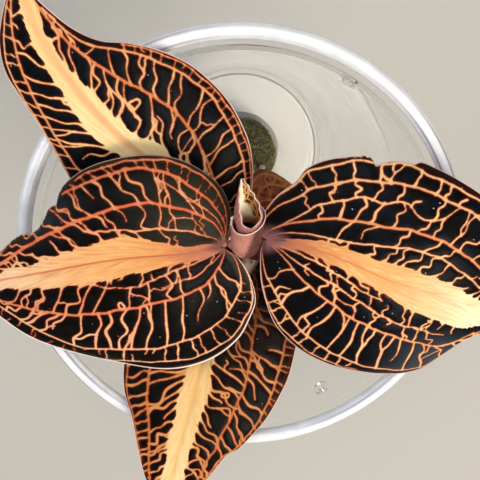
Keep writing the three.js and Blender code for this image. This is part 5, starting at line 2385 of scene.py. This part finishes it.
@dataclass
class Cup:
    """Clear tapered cup with a rolled rim, a ringed foot and three ringed vents under the rim."""

    foot_radius: float = 28.6
    top_radius: float = 43.2
    rim_radius: float = 47.5
    bead: float = 1.6
    wall: float = 0.8
    corner: float = 0.7
    seat_depth: float = 2.2
    step_offsets: tuple[float, float, float] = (0.5, 0.2, 0.1)
    foot_slope: float = 1.0
    foot_rise: float = 2.2
    foot_ring: float = 2.0
    inner_ring: float = 15.2
    recess: float = 0.9
    vent_angles: tuple[float, ...] = (-62, 58, 178)
    vent_depth: float = 8.0
    vent_band: float = 2.6
    hole_radius: float = 0.9
    lip_radius: float = 1.8
    lip_root: float = -0.25
    lip_height: float = 0.5
    cutter_reach: tuple[float, float] = (1.5, 2.5)
    segments: int = 192
    rim_steps: int = 256
    bead_steps: int = 28

    def radius_at(self, height: float) -> float:
        """Gives the wall's outer radius at a height."""
        return self.foot_radius + (self.top_radius - self.foot_radius) * height / (RIM - self.seat_depth)

    def build(self, effects: Effects) -> list[Object]:
        """Makes the cup's pieces.

        Args:
            effects: Shared shader groups.

        Returns:
            The wall, the rim and the vent lips.
        """
        wall = dressed(self._wall(), ClearPlastic().build("clear_wall", effects))
        rim = self._rim(MilkyPlastic().build("rolled_plastic", effects))
        return [wall, rim, self._lips(ClearPlastic(haze=0.12).build("vent_plastic", effects))]

    def _profile(self) -> list[tuple[float, float]]:
        """Draws the section of the foot, the wall and the step under the rim.

        Returns:
            Its corners, from the axis out under the foot, up the wall and back down inside.
        """
        seat, foot = RIM - self.seat_depth, self.foot_radius - self.foot_slope
        ring_inside = foot - self.foot_ring
        bead_line = self.rim_radius - self.bead
        floor = self.wall + self.recess
        foot_outside = [
            (0, 0), (self.inner_ring - self.foot_slope, 0), (self.inner_ring, self.recess),
            (ring_inside - self.foot_slope, self.recess), (ring_inside, 0), (foot, 0),
        ]
        under, over, back = self.step_offsets
        step = [(bead_line - under, seat - self.wall), (bead_line, seat + over)]
        step.append((bead_line - self.bead, seat + back))
        foot_inside = [
            (foot - self.wall, floor), (self.inner_ring - self.wall, floor),
            (self.inner_ring - self.foot_slope - self.wall, self.wall), (0, self.wall),
        ]
        outside = self._wall_line(self.foot_rise, seat - self.wall, 0)
        inside = self._wall_line(seat, self.foot_rise + self.wall, self.wall)
        return [*foot_outside, *outside, *step, *inside, *foot_inside]

    def _wall(self) -> Object:
        """Turns the section and cuts the vents through.

        Returns:
            The wall.
        """
        wall = lathe(rounded(self._profile(), self.corner), self.segments).to_object("cup_wall_whole", 50)
        cutters = [self._cutter(math.radians(angle)) for angle in self.vent_angles]
        for cutter in cutters:
            cut = wall.modifiers.new("vent", "BOOLEAN")
            cut.operation = "DIFFERENCE"
            cut.solver = "EXACT"
            cut.object = cutter
        result = evaluated(wall, "cup_wall")
        result.data.set_sharp_from_angle(angle=math.radians(30))
        for cutter in cutters:
            bpy.data.objects.remove(cutter)
        return result

    def _wall_line(self, start: float, end: float, inwards: float) -> list[tuple[float, float]]:
        """Gives one face of the wall, with short steps round the vents.

        Args:
            start: Height of its first point.
            end: Height of its last point.
            inwards: How far inside the outer face it lies.

        Returns:
            (radius, height) pairs.
        """
        vents = RIM - self.vent_depth
        heights = {start, start + (end - start) * 0.2, start + (end - start) * 0.5, end}
        heights |= {vents - self.vent_band, vents + self.vent_band}
        return [(self.radius_at(height) - inwards, height) for height in sorted(heights, reverse=end < start)]

    def _vent_place(self, angle: float) -> tuple[Array, Array]:
        """Finds a vent.

        Args:
            angle: Direction of the vent from the cup's axis.

        Returns:
            Its centre on the wall's outer face, and the direction out of the cup.
        """
        height = RIM - self.vent_depth
        radius = self.radius_at(height)
        taper = math.atan2(self.top_radius - self.foot_radius, RIM - self.seat_depth)
        spot = np.array([radius * math.cos(angle), radius * math.sin(angle), height])
        flat = math.cos(taper)
        return spot, np.array([math.cos(angle) * flat, math.sin(angle) * flat, -math.sin(taper)])

    def _cutter(self, angle: float) -> Object:
        """Makes the rod that cuts one vent.

        Args:
            angle: Direction of the vent from the cup's axis.

        Returns:
            The rod.
        """
        spot, outward = self._vent_place(angle)
        outside, inside = self.cutter_reach
        line = Curve([spot + outward * outside, spot, spot - outward * inside])
        return tube(line, 3, 24, lambda t: self.hole_radius + 0 * t).to_object("vent_cutter")

    def _rim(self, material: Material) -> Object:
        """Sweeps the rolled rim round the cup.

        Args:
            material: The rim's material.

        Returns:
            The rim.
        """
        sizes = {"Ring radius": self.rim_radius - self.bead, "Bead radius": self.bead}
        sizes["Height"] = RIM - self.bead
        tree = Growing("rim_rule", {label: size * MM for label, size in sizes.items()})
        circle, given = "GeometryNodeCurvePrimitiveCircle", tree.given
        ring = tree.add(circle, {"Resolution": self.rim_steps, "Radius": given["Ring radius"]})
        bead = tree.add(circle, {"Resolution": self.bead_steps, "Radius": given["Bead radius"]})
        swept = tree.add("GeometryNodeCurveToMesh", {"Curve": ring, "Profile Curve": bead})
        lift = tree.add("ShaderNodeCombineXYZ", {2: given["Height"]})
        raised = tree.add("GeometryNodeTransform", {"Geometry": swept, "Translation": lift})
        tree.finish(tree.add("GeometryNodeSetShadeSmooth", {"Geometry": raised}), material)
        return tree.grow(Shape(np.zeros((1, 3))).to_object("rim_host"), "cup_rim")

    def _lips(self, material: Material) -> Object:
        """Places a raised ring inside the wall round each vent.

        Args:
            material: The rings' material.

        Returns:
            The rings.
        """
        corners = ((self.hole_radius, self.lip_root), (self.lip_radius, self.lip_root),
                   (self.lip_radius, self.lip_height), (self.hole_radius, self.lip_height))
        ring = lathe(corners, 36).to_object("lip_source", 50)
        spots, outs = zip(*(self._vent_place(math.radians(angle)) for angle in self.vent_angles))
        inner = np.array(spots) - np.array(outs) * self.wall
        host = Shape(inner, [], {"inward": -np.array(outs)}).to_object("lip_host")
        tree = Growing("lip_rule", {"Ring size": 1.0})
        source = tree.add("GeometryNodeObjectInfo", {"Object": ring}).outputs["Geometry"]
        inward = tree.add("GeometryNodeInputNamedAttribute", {"Name": "inward"}, data_type="FLOAT_VECTOR")
        facing = tree.add("FunctionNodeAlignRotationToVector", {"Vector": inward.outputs[0]}, axis="Z")
        points, scale = tree.given[:2]
        placed = {"Points": points, "Instance": source, "Rotation": facing, "Scale": scale}
        tree.finish(tree.add("GeometryNodeInstanceOnPoints", placed), material)
        lips = tree.grow(host, "cup_vent_lips")
        bpy.data.objects.remove(ring)
        return lips


# ---- Studio ----


@dataclass(frozen=True)
class Softbox:
    """Square lamp, which looks at the middle of the plant."""

    name: str
    place: tuple[float, float, float]
    size: float
    power: float
    tint: str = "ffffff"


@dataclass
class Studio:
    """Floor, lamps, world and camera."""

    aim: tuple[float, float, float] = (0, 0, 0.1)
    camera_place: tuple[float, float, float] = (0, 0.0529, 0.2455)
    camera_tilt: float = -19.53
    lens: float = 52.5
    sensor_width: float = 36
    nearest: float = 0.01
    world: tuple[float, float] = (0.82, 0.42)
    floor_reach: float = 3000.0
    softboxes: tuple[Softbox, ...] = (
        Softbox("lamp_key", (0.34, -0.3, 0.62), 0.34, 4.2, "fff6ea"),
        Softbox("lamp_fill", (-0.5, 0.2, 0.6), 0.6, 2.2, "eaf1ff"),
        Softbox("lamp_top", (0.05, 0.35, 0.75), 0.4, 1.6),
    )

    def build(self) -> None:
        """Sets up the whole studio."""
        bpy.context.scene.view_settings.view_transform = "Standard"
        self._floor()
        for box in self.softboxes:
            self._lamp(box)
        self._world()
        self._camera()

    def _floor(self) -> Object:
        """Makes the floor, flush with the cup's foot.

        Returns:
            The floor.
        """
        reach = self.floor_reach
        corners = np.array([(-reach, -reach, 0), (reach, -reach, 0), (reach, reach, 0), (-reach, reach, 0)])
        return dressed(Shape(corners, [(0, 1, 2, 3)]).to_object("floor"), FloorFinish().build("floor_paint"))

    def _lamp(self, box: Softbox) -> None:
        """Adds one softbox.

        Args:
            box: Its place and its light.
        """
        lamp = bpy.data.lights.new(box.name, "AREA")
        lamp.size = box.size
        lamp.energy = box.power
        lamp.color = colour(box.tint)[:3]
        thing = bpy.data.objects.new(box.name, lamp)
        thing.location = box.place
        thing.rotation_euler = (Vector(self.aim) - Vector(box.place)).to_track_quat("-Z", "Y").to_euler()
        bpy.context.collection.objects.link(thing)

    def _world(self) -> None:
        """Gives the studio its even pale light."""
        world = bpy.data.worlds.new("studio")
        world.use_nodes = True
        level, strength = self.world
        background = world.node_tree.nodes["Background"]
        background.inputs["Color"].default_value = (level, level, level, 1)
        background.inputs["Strength"].default_value = strength
        bpy.context.scene.world = world

    def _camera(self) -> None:
        """Places the camera above the cup, which it sees almost from straight above."""
        lens = bpy.data.cameras.new("camera")
        lens.lens = self.lens
        lens.sensor_width = self.sensor_width
        lens.clip_start = self.nearest
        camera = bpy.data.objects.new("camera", lens)
        camera.location = self.camera_place
        camera.rotation_euler = (math.radians(self.camera_tilt), 0, 0)
        bpy.context.collection.objects.link(camera)
        bpy.context.scene.camera = camera


# ---- Main ----


def settle(pieces: Sequence[Object], node: str, slot: str) -> None:
    """Lets finished pieces stand for a CAD node and follow its body.

    Args:
        pieces: Finished objects.
        node: Name of the node.
        slot: Material slot of the record; not used.
    """
    for piece in pieces:
        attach(piece, BODY)
        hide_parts(node)
        log.info("%s: %d faces, for %s", piece.name, len(piece.data.polygons), node)


def main() -> None:
    """Builds every piece in place of its CAD node."""
    logging.basicConfig(level=logging.INFO, format="%(name)s %(message)s", stream=sys.stdout)
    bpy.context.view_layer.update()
    effects = Effects()
    tissue = PinkTissue().build("pink_tissue", effects)
    roots = Roots()
    settle(Cup().build(effects), "cup", "clear_plastic")
    for leaf in all_leaves():
        settle(leaf.build(effects, tissue), leaf.name, leaf.slot)
    settle([FurledLeaf().build(effects)], "furled_leaf", "pink_leaf")
    settle(Stem().build(tissue), "stem", "stem")
    for name, pieces in roots.build(effects).items():
        settle(pieces, name, "root")
    settle(MossPlug().build(effects, roots), "plug", "moss")
    Studio().build()


if __name__ == "__main__":
    main()
